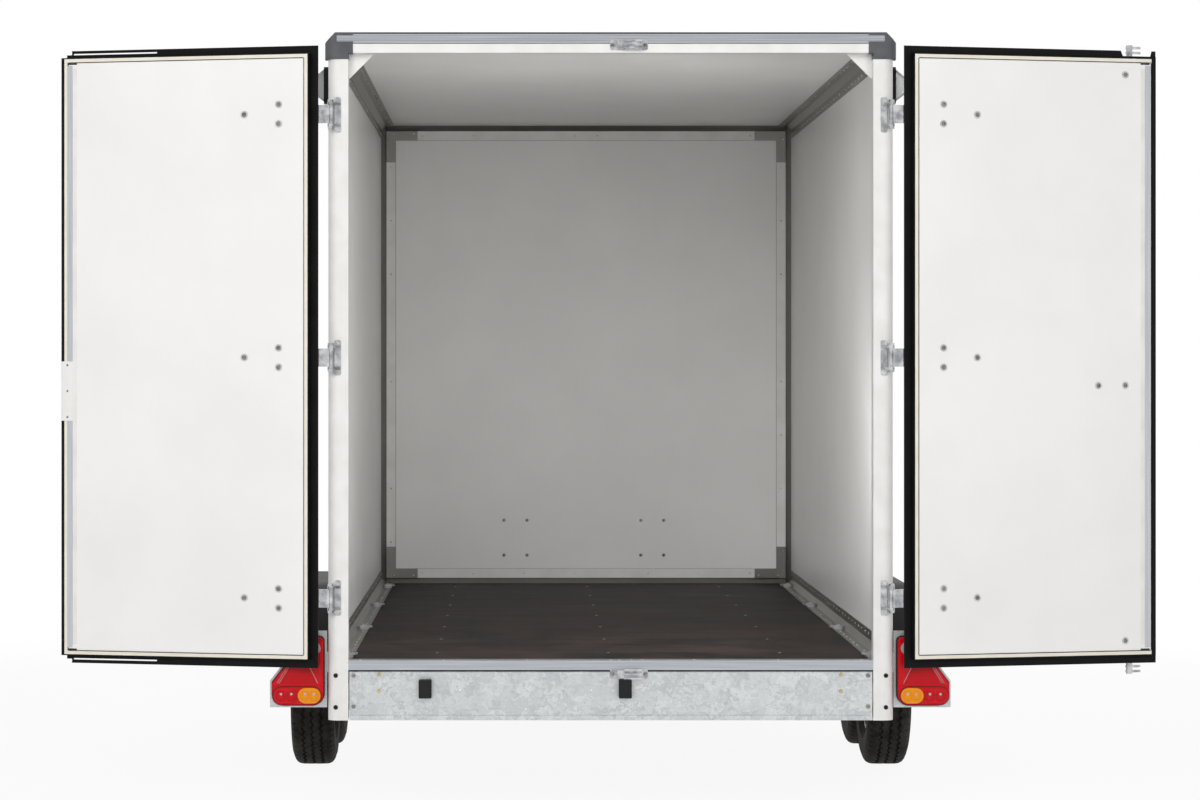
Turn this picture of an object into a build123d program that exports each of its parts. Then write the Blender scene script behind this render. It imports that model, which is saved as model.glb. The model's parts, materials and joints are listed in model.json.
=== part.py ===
"""Enclosed tandem-axle cargo trailer, parked on its jockey wheel with both rear doors open.

X points to the trailer's right, Y towards the coupling and Z up, with the ground at Z = 0.
Each sub-part is one solid, or several like solids, written to its own STEP file.
"""

from build123d import *
from math import cos, radians, sin
import os

os.makedirs("parts", exist_ok=True)

# ---------------------------------------------------------------- driving dimensions
rear_y = -2750.0  # rear face of the door frame
inner_length = 4000.0
body_half = 970.0  # outer face of the side walls
wall = 20.0
inner_half = body_half - wall
floor_top = 540.0
floor_thick = 20.0
floor_under = floor_top - floor_thick
ceiling = 2660.0
roof_top = ceiling + wall
wall_bottom = 500.0

opening_half = 900.0
opening_top = 2623.0
frame_depth = 60.0
frame_top = 2693.0
post_bottom = 334.0
cap_bottom = 2601.0
cap_half = 981.0
cap_inner = 884.0
cap_proud = 3.0  # the rear caps' faces stand this far behind the frame's
moulding_end = 940.0  # the ribbed moulding runs this far into the caps

inside_rear = rear_y + frame_depth
inside_front = rear_y + inner_length
edge_skin = 6.0  # the edge profiles stand this far proud of the panels
edge_lap = 35.0  # how far they lap over a panel
edge_drop = 50.0

rail_top = 460.0
rail_height = 100.0
rail_width = 50.0
rail_outer = 900.0
sheet = 4.0

wheel_radius = 297.0
tyre_width = 165.0
tyre_centre = 1104.0
rear_axle_y = rear_y + 1550.0
axle_spacing = 680.0
front_axle_y = rear_axle_y + axle_spacing
spindle_radius = 17.0
running_gap = 0.08

hinge_x = 959.0  # door hinge pins, from the middle
hinge_back = 28.0  # and behind the frame's rear face
hinge_heights = (755.0, 1578.0, 2410.0)
pin_radius = 6.0
door_angle = 13.5  # each open door stands this far past half a turn
leaf_thick = 30.0
leaf_proud = 10.0  # closed, the leaf's outer face stands behind the frame's rear face
leaf_edge = 891.0  # closed, the hinge-side edge of the leaf
leaf_width = 881.0
leaf_bottom = 549.0
leaf_top = 2614.0
frame_edge = 14.0  # width of the leaf's edge profile
leaf_hinge_side = hinge_x - leaf_edge
leaf_outer = leaf_proud - hinge_back
leaf_inner = leaf_outer - leaf_thick

coupling_y = 2755.0
coupling_z = 490.0
jack_x = -244.0
jack_y = 1900.0
jack_wheel_radius = 100.0
jack_trail = 45.0

# ---------------------------------------------------------------- small helpers


def door_plane(height=0.0):
    """Plane at the right-hand hinge pin: X along the open leaf, Y out of its weather side, Z up."""
    turn = radians(door_angle)
    pin = (hinge_x, rear_y - hinge_back, height)
    return Plane(origin=pin, x_dir=(cos(turn), sin(turn), 0), z_dir=(0, 0, 1))


def door_face_plane(offset=0.0):
    """Plane of the right-hand leaf: X along it, Y up, facing out of its weather side."""
    turn = radians(door_angle)
    normal = Vector(-sin(turn), cos(turn), 0)
    pin = Vector(hinge_x, rear_y - hinge_back, 0) + normal * offset
    return Plane(origin=pin, x_dir=(-cos(turn), -sin(turn), 0), z_dir=normal)


def outline(points):
    """Adds a closed polygon, with its points where they are given, to the open sketch."""
    Polygon(*points, align=None)


def cut_corner(width, height, corner, mode=Mode.ADD):
    """Adds a rectangle with cut corners to the open sketch, or takes it away."""
    across, up = width / 2, height / 2
    quarter = [(across, up - corner), (across - corner, up)]
    top = quarter + [(-x, y) for x, y in reversed(quarter)]
    Polygon(*top, *[(-x, -y) for x, y in top], align=None, mode=mode)


def edge_section(out, up):
    """Corner profile over two panels whose outer faces meet at (out, up)."""
    outline(
        [
            (out, up - edge_lap - edge_drop + 15),
            (out + edge_skin, up - edge_lap - edge_drop + 15),
            (out + edge_skin, up - 23),
            (out - 30, up + 13),
            (out - 55, up + 13),
            (out - 55, up),
            (out - wall, up),
            (out - wall, up - wall),
            (out, up - wall),
        ]
    )


# ---------------------------------------------------------------- box: floor, walls and roof

with BuildPart() as floor_panel:
    with BuildSketch(Plane.XY.offset(floor_under)):
        with Locations((0, (inside_rear + inside_front) / 2)):
            Rectangle(2 * inner_half, inside_front - inside_rear)
    extrude(amount=floor_thick)
floor_panel.part.label = "floor_panel"
export_step(floor_panel.part, "parts/floor_panel.step")

with BuildPart() as roof_panel:
    with BuildSketch(Plane.XY.offset(ceiling)):
        with Locations((0, (inside_rear + inside_front) / 2)):
            Rectangle(2 * inner_half, inside_front - inside_rear)
    extrude(amount=wall)
roof_panel.part.label = "roof_panel"
export_step(roof_panel.part, "parts/roof_panel.step")

for side, name in ((1, "right"), (-1, "left")):
    with BuildPart() as side_wall:
        with BuildSketch(Plane.XY.offset(wall_bottom)):
            with Locations((side * (body_half - wall / 2), (inside_rear + inside_front) / 2)):
                Rectangle(wall, inside_front - inside_rear)
        extrude(amount=ceiling - wall_bottom)
    side_wall.part.label = f"side_wall_{name}"
    export_step(side_wall.part, f"parts/side_wall_{name}.step")

with BuildPart() as front_wall:
    with BuildSketch(Plane.XY.offset(wall_bottom)):
        with Locations((0, inside_front + wall / 2)):
            Rectangle(2 * inner_half, wall)
    extrude(amount=ceiling - wall_bottom)
front_wall.part.label = "front_wall"
export_step(front_wall.part, "parts/front_wall.step")

# ---------------------------------------------------------------- edge profiles and corner caps

front_face = inside_front + wall
edge_front_end = inside_front - edge_drop
edge_low = front_face - edge_lap - edge_drop + 15

with BuildPart() as edge_profiles:
    # roof sides
    with BuildSketch(Plane.XZ.offset(-inside_rear)):
        edge_section(body_half, roof_top)
    extrude(amount=-(edge_front_end - inside_rear))
    # front corners
    with BuildSketch(Plane.XY.offset(wall_bottom)):
        edge_section(body_half, front_face)
    extrude(amount=roof_top - edge_lap - edge_drop + 10 - wall_bottom)
    # bottom edges of the side walls
    with BuildSketch(Plane.XZ.offset(-inside_rear)):
        outline(
            [
                (body_half, wall_bottom + 60),
                (body_half + edge_skin, wall_bottom + 60),
                (body_half + edge_skin, wall_bottom - edge_skin),
                (body_half - 25, wall_bottom - edge_skin),
                (body_half - 25, wall_bottom),
                (body_half, wall_bottom),
            ]
        )
    extrude(amount=-(edge_low - 2 - inside_rear))
    mirror(about=Plane.YZ)
    # roof front
    with BuildSketch(Plane.YZ.offset(-(body_half - 55))):
        edge_section(front_face, roof_top)
    extrude(amount=2 * (body_half - 55))
edge_profiles.part.label = "edge_profiles"
export_step(edge_profiles.part, "parts/edge_profiles.step")

cap_chamfer = 36.0
cap_round = 34.0
groove_low = 2661.5
groove_height = 22.0
groove_depth = 20.0
front_cap_bottom = roof_top - edge_lap - edge_drop + 15
front_cap_out = body_half + 11.0
front_cap_ahead = front_face + 11.0
front_cap_top = roof_top + 18.0

with BuildPart() as corner_caps:
    # front caps, three-way corners over the panels
    with BuildSketch(Plane.XY.offset(front_cap_bottom)):
        with Locations(((body_half - 55 + front_cap_out) / 2, (edge_front_end + front_cap_ahead) / 2)):
            Rectangle(front_cap_out - body_half + 55, front_cap_ahead - edge_front_end)
    extrude(amount=front_cap_top - front_cap_bottom)
    upright = corner_caps.edges().filter_by(Axis.Z).group_by(Axis.X)[-1].sort_by(Axis.Y)[-1]
    top_side = corner_caps.edges().filter_by(Axis.Y).group_by(Axis.X)[-1].sort_by(Axis.Z)[-1]
    top_front = corner_caps.edges().filter_by(Axis.X).group_by(Axis.Y)[-1].sort_by(Axis.Z)[-1]
    chamfer([upright, top_side, top_front], cap_chamfer)
    for across, ahead, up in (
        (body_half, inside_front, ceiling),
        (inner_half, front_face, ceiling),
        (inner_half, inside_front, roof_top),
    ):
        with Locations((across, ahead, up)):
            far_end = (Align.MAX, Align.MAX, Align.MAX)
            Box(body_half, inner_length, roof_top, align=far_end, mode=Mode.SUBTRACT)
    # rear caps, over the tops of the posts and the ends of the header
    with BuildSketch(Plane.XZ.offset(-(rear_y - cap_proud))):
        outline(
            [
                (opening_half, cap_bottom),
                (cap_half, cap_bottom),
                (cap_half, frame_top - cap_chamfer),
                (cap_half - cap_chamfer, frame_top),
                (cap_inner, frame_top),
                (cap_inner, opening_top),
                (opening_half, opening_top),
            ]
        )
    extrude(amount=-(frame_depth + cap_proud))
    rear_corner = corner_caps.edges().filter_by(Axis.Z).group_by(Axis.X)[-1].sort_by(Axis.Y)[0]
    fillet(rear_corner, cap_round)
    # recess for the end of the ribbed moulding
    with Locations((cap_inner, rear_y - cap_proud, groove_low)):
        Box(
            moulding_end - cap_inner,
            groove_depth + cap_proud,
            groove_height,
            align=(Align.MIN, Align.MIN, Align.MIN),
            mode=Mode.SUBTRACT,
        )
    mirror(about=Plane.YZ)
corner_caps.part.label = "corner_caps"
export_step(corner_caps.part, "parts/corner_caps.step")

# ---------------------------------------------------------------- rear frame

with BuildPart() as rear_posts:
    with BuildSketch(Plane.XY.offset(post_bottom)):
        with BuildLine():
            face = Line((opening_half, rear_y), (opening_half + 38, rear_y))
            shoulder = RadiusArc(face @ 1, (body_half, rear_y + 32), -34)
            Polyline(
                shoulder @ 1,
                (body_half, inside_rear),
                (opening_half, inside_rear),
                (opening_half, rear_y),
            )
        make_face()
        offset(amount=-sheet, mode=Mode.SUBTRACT)
    extrude(amount=cap_bottom - post_bottom)
    mirror(about=Plane.YZ)
rear_posts.part.label = "rear_posts"
export_step(rear_posts.part, "parts/rear_posts.step")

header_height = 32.0
header_mid = opening_top + header_height / 2
with BuildPart() as rear_header:
    with BuildSketch(Plane.YZ.offset(-cap_inner)):
        with Locations((rear_y + frame_depth / 2, header_mid)):
            Rectangle(frame_depth, header_height)
            Rectangle(frame_depth - 2 * sheet, header_height - 2 * sheet, mode=Mode.SUBTRACT)
    extrude(amount=2 * cap_inner)
rear_header.part.label = "rear_header"
export_step(rear_header.part, "parts/rear_header.step")

moulding_height = frame_top - opening_top - header_height
moulding_mid = frame_top - moulding_height / 2
groove_mid = groove_low + groove_height / 2
rib_pitch = 9.0
with BuildPart() as header_moulding:
    with BuildSketch(Plane.YZ.offset(-cap_inner)):
        with Locations((rear_y + frame_depth / 2, moulding_mid)):
            Rectangle(frame_depth, moulding_height)
    extrude(amount=2 * cap_inner)
    # the ribbed band goes on into the caps
    with BuildSketch(Plane.YZ.offset(-moulding_end)):
        with Locations((rear_y + groove_depth / 2, groove_mid)):
            Rectangle(groove_depth, groove_height)
    extrude(amount=2 * moulding_end)
    with BuildSketch(Plane.YZ.offset(-moulding_end)):
        with Locations((rear_y, groove_mid)):
            with GridLocations(1, rib_pitch, 1, 3):
                Rectangle(8, 3, mode=Mode.ADD)
    extrude(amount=2 * moulding_end, mode=Mode.SUBTRACT)
header_moulding.part.label = "header_moulding"
export_step(header_moulding.part, "parts/header_moulding.step")

sill_height = 33.0
sill_mid = floor_top - sill_height / 2
with BuildPart() as rear_sill:
    with BuildSketch(Plane.YZ.offset(-opening_half)):
        with Locations((rear_y + frame_depth / 2, sill_mid)):
            Rectangle(frame_depth, sill_height)
            Rectangle(frame_depth - 2 * sheet, sill_height - 2 * sheet, mode=Mode.SUBTRACT)
        with Locations((rear_y, sill_mid)):
            with GridLocations(1, 8, 1, 3):
                Rectangle(3, 3, mode=Mode.SUBTRACT)
    extrude(amount=2 * opening_half)
rear_sill.part.label = "rear_sill"
export_step(rear_sill.part, "parts/rear_sill.step")

beam_top = 503.0
beam_bottom = 340.0
beam_half = opening_half - 4.0
beam_depth = frame_depth - 2.0
beam_mid = (beam_top + beam_bottom) / 2
beam_lip = 16.0
beam_lip_up = 11.0
beam_lip_out = 5.0
plate_x = -292.0
plate_hole_z = 438.0
plate_hole_spacing = 452.0
plate_hole_radius = 2.75
with BuildPart() as rear_beam:
    with BuildSketch(Plane.YZ.offset(-beam_half)):
        with Locations((inside_rear - beam_depth / 2, beam_mid)):
            RectangleRounded(beam_depth, beam_top - beam_bottom, 8)
            RectangleRounded(beam_depth - 8, beam_top - beam_bottom - 8, 4, mode=Mode.SUBTRACT)
        with Locations((inside_rear, beam_mid)):
            Rectangle(3 * sheet, beam_top - beam_bottom - 30, mode=Mode.SUBTRACT)
    extrude(amount=2 * beam_half)
    # lip along the lower edge
    with Locations((0, inside_rear - beam_depth - beam_lip_out, beam_bottom + beam_lip_up)):
        Box(2 * beam_half, 2 * beam_lip_out, beam_lip, align=(Align.CENTER, Align.MIN, Align.MAX))
    with BuildSketch(Plane.XZ.offset(-rear_y)):
        with Locations((plate_x, plate_hole_z)):
            with GridLocations(plate_hole_spacing, 1, 2, 1):
                Circle(plate_hole_radius)
        with Locations((plate_x, plate_hole_z - 65)):
            Circle(plate_hole_radius)
    extrude(amount=-20, mode=Mode.SUBTRACT)
rear_beam.part.label = "rear_beam"
export_step(rear_beam.part, "parts/rear_beam.step")

gusset_leg = 86.0
with BuildPart() as gussets:
    with BuildSketch(Plane.XZ.offset(-inside_rear)):
        outline(
            [
                (opening_half, opening_top),
                (opening_half - gusset_leg, opening_top),
                (opening_half, opening_top - gusset_leg),
            ]
        )
    extrude(amount=6)
    mirror(about=Plane.YZ)
gussets.part.label = "gussets"
export_step(gussets.part, "parts/gussets.step")

# ---------------------------------------------------------------- inside: rails, trims and lashing points

cove = 61.0  # how far the rails reach over a wall, the floor or the ceiling
slope = 24.0  # size of the slanted part that fills the angle
rail_flange = 3.0
rail_skin = 1.5
inner_end = inside_front - slope - 0.5


def cove_section(direction):
    """Rail in the angle of a side wall and the floor (direction 1) or the ceiling (-1)."""
    base = floor_top if direction > 0 else ceiling
    outline(
        [
            (inner_half, base),
            (inner_half - cove, base),
            (inner_half - cove, base + direction * rail_flange),
            (inner_half - slope, base + direction * rail_flange),
            (inner_half - rail_flange, base + direction * slope),
            (inner_half - rail_flange, base + direction * cove),
            (inner_half, base + direction * cove),
        ]
    )


with BuildPart() as wall_rails:
    for direction, base in ((1, floor_top), (-1, ceiling)):
        with BuildSketch(Plane.XZ.offset(-inside_rear)):
            cove_section(direction)
            with Locations((inner_half - rail_skin, base + direction * rail_skin)):
                hollow = slope - rail_skin
                Polygon((0, 0), (-hollow, 0), (0, direction * hollow), align=None, mode=Mode.SUBTRACT)
        extrude(amount=-(inner_end - inside_rear))
    # upright fillets between the side walls and the front wall
    with BuildSketch(Plane.XY.offset(floor_top)):
        outline(
            [
                (inner_half, inside_front),
                (inner_half, inside_front - slope),
                (inner_half - slope, inside_front),
            ]
        )
    extrude(amount=ceiling - floor_top)
    mirror(about=Plane.YZ)
    # level fillets along the front wall, between the upright ones
    for direction, base in ((1, floor_top), (-1, ceiling)):
        with BuildSketch(Plane.YZ.offset(slope - inner_half)):
            outline(
                [
                    (inside_front, base),
                    (inside_front - slope, base),
                    (inside_front, base + direction * slope),
                ]
            )
        extrude(amount=2 * (inner_half - slope))
wall_rails.part.label = "wall_rails"
export_step(wall_rails.part, "parts/wall_rails.step")

trim_depth = 4.0
trim_width = 42.0
bracket_arm = 144.0
bracket_depth = 6.0
trim_end = slope + bracket_arm + 1  # from a wall, the floor or the ceiling to the end of a strip
with BuildPart() as front_trims:
    with BuildSketch(Plane.XZ.offset(-inside_front)):
        for direction, base in ((1, floor_top), (-1, ceiling)):
            with Locations((0, base + direction * (slope + trim_width / 2))):
                Rectangle(2 * (inner_half - trim_end), trim_width)
        for side in (1, -1):
            with Locations((side * (inner_half - slope - trim_width / 2), (floor_top + ceiling) / 2)):
                Rectangle(trim_width, ceiling - floor_top - 2 * trim_end)
    extrude(amount=trim_depth)
front_trims.part.label = "front_trims"
export_step(front_trims.part, "parts/front_trims.step")

bracket_side = inner_half - slope
with BuildPart() as corner_brackets:
    with BuildSketch(Plane.XZ.offset(-inside_front)):
        for direction, base in ((1, floor_top + slope), (-1, ceiling - slope)):
            outline(
                [
                    (bracket_side, base),
                    (bracket_side, base + direction * bracket_arm),
                    (bracket_side - trim_width, base + direction * bracket_arm),
                    (bracket_side - trim_width, base + direction * trim_width),
                    (bracket_side - bracket_arm, base + direction * trim_width),
                    (bracket_side - bracket_arm, base),
                ]
            )
    extrude(amount=bracket_depth)
    mirror(about=Plane.YZ)
corner_brackets.part.label = "corner_brackets"
export_step(corner_brackets.part, "parts/corner_brackets.step")

lashing_first = 140.0
lashing_step = 1175.0
lashing_count = 4
lashing_z = floor_top + rail_flange
base_x = inner_half - 43
ring_x = inner_half - 47
ring_lift = 6.0
ring_thick = 6.0
with BuildPart() as lashing_rings:
    for number in range(lashing_count):
        ring_y = rear_y + lashing_first + number * lashing_step
        with BuildSketch(Plane.XY.offset(lashing_z)):
            with Locations((base_x, ring_y)):
                cut_corner(34, 64, 6)
        extrude(amount=3)
        # saddle over the middle of the ring
        with Locations((base_x, ring_y, lashing_z)):
            Box(13, 20, 17, align=(Align.CENTER, Align.CENTER, Align.MIN))
        with BuildSketch(Plane.XY.offset(lashing_z + ring_lift)):
            with Locations((ring_x, ring_y)):
                cut_corner(57, 46, 12)
                cut_corner(43, 32, 7, Mode.SUBTRACT)
        extrude(amount=ring_thick)
    mirror(about=Plane.YZ)
lashing_rings.part.label = "lashing_rings"
export_step(lashing_rings.part, "parts/lashing_rings.step")

# ---------------------------------------------------------------- chassis


def channel(width, height, thick):
    """C-section, open towards its +X, added to the sketch that is open."""
    RectangleRounded(width, height, 6)
    with Locations((thick, 0)):
        Rectangle(width, height - 2 * thick, mode=Mode.SUBTRACT)


with BuildPart() as chassis_rails:
    rail_plane = Plane(
        origin=(rail_outer - rail_width / 2, inside_rear, rail_top - rail_height / 2),
        x_dir=(-1, 0, 0),
        z_dir=(0, 1, 0),
    )
    with BuildSketch(rail_plane):
        channel(rail_width, rail_height, sheet)
    extrude(amount=front_face - inside_rear)
    mirror(about=Plane.YZ)
chassis_rails.part.label = "chassis_rails"
export_step(chassis_rails.part, "parts/chassis_rails.step")

member_count = 8
member_width = 40.0
member_height = floor_under - rail_top
member_half = body_half - 25
member_first = inside_rear + 40
member_step = (inside_front - 25 - member_first) / (member_count - 1)
with BuildPart() as crossmembers:
    for number in range(member_count):
        middle = member_first + number * member_step
        with BuildSketch(Plane.YZ.offset(-member_half)):
            with Locations((middle, rail_top + member_height / 2)):
                Rectangle(member_width, member_height)
            with Locations((middle + 3, rail_top + member_height / 2)):
                Rectangle(member_width, member_height - 6, mode=Mode.SUBTRACT)
        extrude(amount=2 * member_half)
crossmembers.part.label = "crossmembers"
export_step(crossmembers.part, "parts/crossmembers.step")

# ---------------------------------------------------------------- drawbar

drawbar_tail = Vector(690, -720, rail_top - 50)
drawbar_nose = Vector(42, 2430, rail_top - 50)
drawbar_run = drawbar_nose - drawbar_tail
apex = [(-150, 2040), (150, 2040), (80, 2440), (-80, 2440)]
with BuildPart() as drawbar:
    with BuildSketch(Plane(origin=drawbar_tail, x_dir=(drawbar_run.Y, -drawbar_run.X, 0), z_dir=drawbar_run)):
        RectangleRounded(50, 100, 7)
        RectangleRounded(50 - 2 * sheet, 100 - 2 * sheet, 3, mode=Mode.SUBTRACT)
    extrude(amount=drawbar_run.length)
    mirror(about=Plane.YZ)
    # plates over and under the nose, which tie the arms and carry the coupling
    for height in (rail_top, rail_top - 106):
        with BuildSketch(Plane.XY.offset(height)):
            outline(apex)
        extrude(amount=6)
drawbar.part.label = "drawbar"
export_step(drawbar.part, "parts/drawbar.step")

ball_radius = 25.0
deck = rail_top + 6
draw_z = coupling_z + 14  # axis of the draw tube
housing_rear = 2080.0
housing_front = 2440.0
bellows_front = 2636.0
fold_count = 4
lever_foot = Vector(2180, draw_z)
lever_tip = Vector(2090, coupling_z + 260)
with BuildPart() as overrun_coupling:
    # bearing housing of the overrun device, on its foot and between two bolting flanges
    with BuildSketch(Plane.XZ.offset(-housing_rear)):
        with Locations((0, draw_z)):
            Circle(36)
        with Locations((0, deck + 8)):
            Rectangle(76, 16)
    extrude(amount=-(housing_front - housing_rear))
    for flange_y in (housing_rear + 50, housing_front - 60):
        with BuildSketch(Plane.XY.offset(deck)):
            with Locations((0, flange_y)):
                RectangleRounded(136, 70, 12)
        extrude(amount=14)
        with BuildSketch(Plane.XZ.offset(-(flange_y - 8))):
            with Locations((0, draw_z)):
                Circle(draw_z - deck)
            with Locations((0, deck + 6)):
                Rectangle(110, 12)
            make_hull()
        extrude(amount=-16)
    # bellows, a stack of folds over the draw tube
    with BuildSketch(Plane.YZ):
        with BuildLine():
            fold_pitch = (bellows_front - housing_front) / fold_count
            fold_points = [(housing_front, draw_z)]
            for fold in range(fold_count):
                fold_points.append((housing_front + fold * fold_pitch, draw_z + 28))
                fold_points.append((housing_front + (fold + 0.5) * fold_pitch, draw_z + 40))
            fold_points.append((bellows_front, draw_z + 28))
            fold_points.append((bellows_front, draw_z))
            Polyline(*fold_points, close=True)
        make_face()
    revolve(axis=Axis((0, housing_front, draw_z), (0, 1, 0)))
    # neck of the coupling head, which narrows from the clamp on the draw tube
    with BuildSketch(Plane.XZ.offset(-bellows_front)):
        with Locations((0, draw_z)):
            cut_corner(72, 66, 20)
    with BuildSketch(Plane.XZ.offset(-(coupling_y - 30))):
        with Locations((0, coupling_z + 13)):
            cut_corner(58, 46, 14)
    loft()
    # pressed head around the ball, with its cup
    for low, rise, shrink in ((coupling_z - 10, 34, 0), (coupling_z + 24, 14, 12)):
        for level, less in ((low, 0), (low + rise, shrink)):
            with BuildSketch(Plane.XY.offset(level)):
                with Locations((0, coupling_y)):
                    Circle(39 - less)
                with Locations((0, coupling_y - 60)):
                    Rectangle(58 - less, 20)
                make_hull()
        loft()
    with Locations((0, coupling_y, coupling_z)):
        Sphere(ball_radius, mode=Mode.SUBTRACT)
    # coupling handle, hinged on the head and folded back over the neck
    with BuildSketch(Plane.YZ.offset(-13)):
        outline(
            [
                (coupling_y - 16, coupling_z + 30),
                (coupling_y + 18, coupling_z + 32),
                (coupling_y + 10, coupling_z + 52),
                (coupling_y - 34, coupling_z + 78),
                (coupling_y - 130, coupling_z + 96),
                (coupling_y - 138, coupling_z + 84),
                (coupling_y - 50, coupling_z + 58),
            ]
        )
    extrude(amount=26)
    # handbrake lever with its grip, pivoted beside the housing
    with BuildSketch(Plane.YZ.offset(62)):
        with Locations(lever_foot):
            Circle(30)
        with Locations(lever_tip):
            Circle(9)
        make_hull()
    extrude(amount=10)
    with BuildSketch(Plane.YZ.offset(54)):
        with Locations(lever_tip):
            Circle(14)
        with Locations(lever_tip + Vector(31, -90)):
            Circle(14)
        make_hull()
    extrude(amount=26)
    with BuildSketch(Plane.YZ.offset(20)):
        with Locations(lever_foot):
            Circle(16)
    extrude(amount=50)
overrun_coupling.part.label = "overrun_coupling"
export_step(overrun_coupling.part, "parts/overrun_coupling.step")

# ---------------------------------------------------------------- jack: jockey wheel stand

jack_bore = 24.6
jack_leg_radius = 24.5
swivel_pin_radius = 10.0


def arm_face(along):
    """How far the outer face of a drawbar arm is from the middle, at the given Y."""
    slope = -drawbar_run.X / drawbar_run.Y
    return drawbar_nose.X + (drawbar_nose.Y - along) * slope + 25 * (1 + slope**2) ** 0.5


jack_tube_bottom = 400.0
jack_tube_top = 760.0
jack_clamp_height = 56.0
with BuildPart() as jack_tube:
    with BuildSketch(Plane.XY.offset(jack_tube_bottom)):
        with Locations((jack_x, jack_y)):
            Circle(30)
    extrude(amount=jack_tube_top - jack_tube_bottom)
    # clamp bracket on the drawbar's side
    with BuildSketch(Plane.XY.offset(jack_tube_bottom)):
        with Locations((jack_x, jack_y)):
            Circle(40)
        outline(
            [
                (jack_x, jack_y - 25),
                (-arm_face(jack_y - 25), jack_y - 25),
                (-arm_face(jack_y + 25), jack_y + 25),
                (jack_x, jack_y + 25),
            ]
        )
    extrude(amount=jack_clamp_height)
    with BuildSketch(Plane.XY.offset(jack_tube_bottom)):
        with Locations((jack_x, jack_y)):
            Circle(jack_bore)
    extrude(amount=jack_tube_top - jack_tube_bottom - 10, mode=Mode.SUBTRACT)
    # cap and crank with its grip
    with BuildSketch(Plane.XY.offset(jack_tube_top)):
        with Locations((jack_x, jack_y)):
            Circle(34)
    extrude(amount=14)
    with BuildSketch(Plane.XY.offset(jack_tube_top + 14)):
        with Locations((jack_x, jack_y)):
            Circle(12)
        with Locations((jack_x, jack_y - 130)):
            Circle(10)
        make_hull()
    extrude(amount=8)
    with BuildSketch(Plane.XY.offset(jack_tube_top + 22)):
        with Locations((jack_x, jack_y - 130)):
            Circle(13)
    extrude(amount=90)
jack_tube.part.label = "jack_tube"
export_step(jack_tube.part, "parts/jack_tube.step")

fork_top = 222.0
fork_pin = 40.0
leg_top = 560.0
with BuildPart() as jack_leg:
    with BuildSketch(Plane.XY.offset(fork_top + 1)):
        with Locations((jack_x, jack_y)):
            Circle(jack_leg_radius)
    extrude(amount=leg_top - fork_top - 1)
    with BuildSketch(Plane.XY.offset(fork_top + 1)):
        with Locations((jack_x, jack_y)):
            Circle(swivel_pin_radius + running_gap)
    extrude(amount=fork_pin + 4, mode=Mode.SUBTRACT)
jack_leg.part.label = "jack_leg"
export_step(jack_leg.part, "parts/jack_leg.step")

with BuildPart() as jack_fork:
    with BuildSketch(Plane.XY.offset(fork_top - 8)):
        with Locations((jack_x, jack_y)):
            Circle(38)
            Rectangle(74, 52)
    extrude(amount=8)
    with BuildSketch(Plane.XY.offset(fork_top)):
        with Locations((jack_x, jack_y)):
            Circle(swivel_pin_radius)
    extrude(amount=fork_pin)
    for side in (32, -37):
        with BuildSketch(Plane.YZ.offset(jack_x + side)):
            with Locations((jack_y - jack_trail, jack_wheel_radius)):
                Circle(20)
            with Locations((jack_y, fork_top - 14)):
                Rectangle(52, 20)
            make_hull()
        extrude(amount=5)
    with BuildSketch(Plane.YZ.offset(jack_x - 42)):
        with Locations((jack_y - jack_trail, jack_wheel_radius)):
            Circle(8)
    extrude(amount=84)
jack_fork.part.label = "jack_fork"
export_step(jack_fork.part, "parts/jack_fork.step")

jack_wheel_half = 26.0
jack_web_half = 10.0
jack_tread_half = 23.0
jack_hub_bore = 8 + running_gap
jack_wheel_plane = Plane(
    origin=(jack_x, jack_y - jack_trail, jack_wheel_radius), x_dir=(1, 0, 0), z_dir=(0, -1, 0)
)
with BuildPart() as jack_wheel:
    with BuildSketch(jack_wheel_plane):
        outline(
            [
                (-jack_wheel_half, jack_hub_bore),
                (jack_wheel_half, jack_hub_bore),
                (jack_wheel_half, 22),
                (jack_web_half, 22),
                (jack_web_half, 62),
                (jack_tread_half, 62),
                (jack_tread_half, jack_wheel_radius - 5),
                (jack_tread_half - 4, jack_wheel_radius),
                (4 - jack_tread_half, jack_wheel_radius),
                (-jack_tread_half, jack_wheel_radius - 5),
                (-jack_tread_half, 62),
                (-jack_web_half, 62),
                (-jack_web_half, 22),
                (-jack_wheel_half, 22),
            ]
        )
    revolve(axis=Axis(jack_wheel_plane.origin, (1, 0, 0)))
jack_wheel.part.label = "jack_wheel"
export_step(jack_wheel.part, "parts/jack_wheel.step")

# ---------------------------------------------------------------- axles and wheels

axle_ahead = 150.0
axle_tube_z = 322.0
axle_tube = 66.0
arm_inner = 984.0
arm_outer = 1012.0
spindle_end = 1128.0


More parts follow.
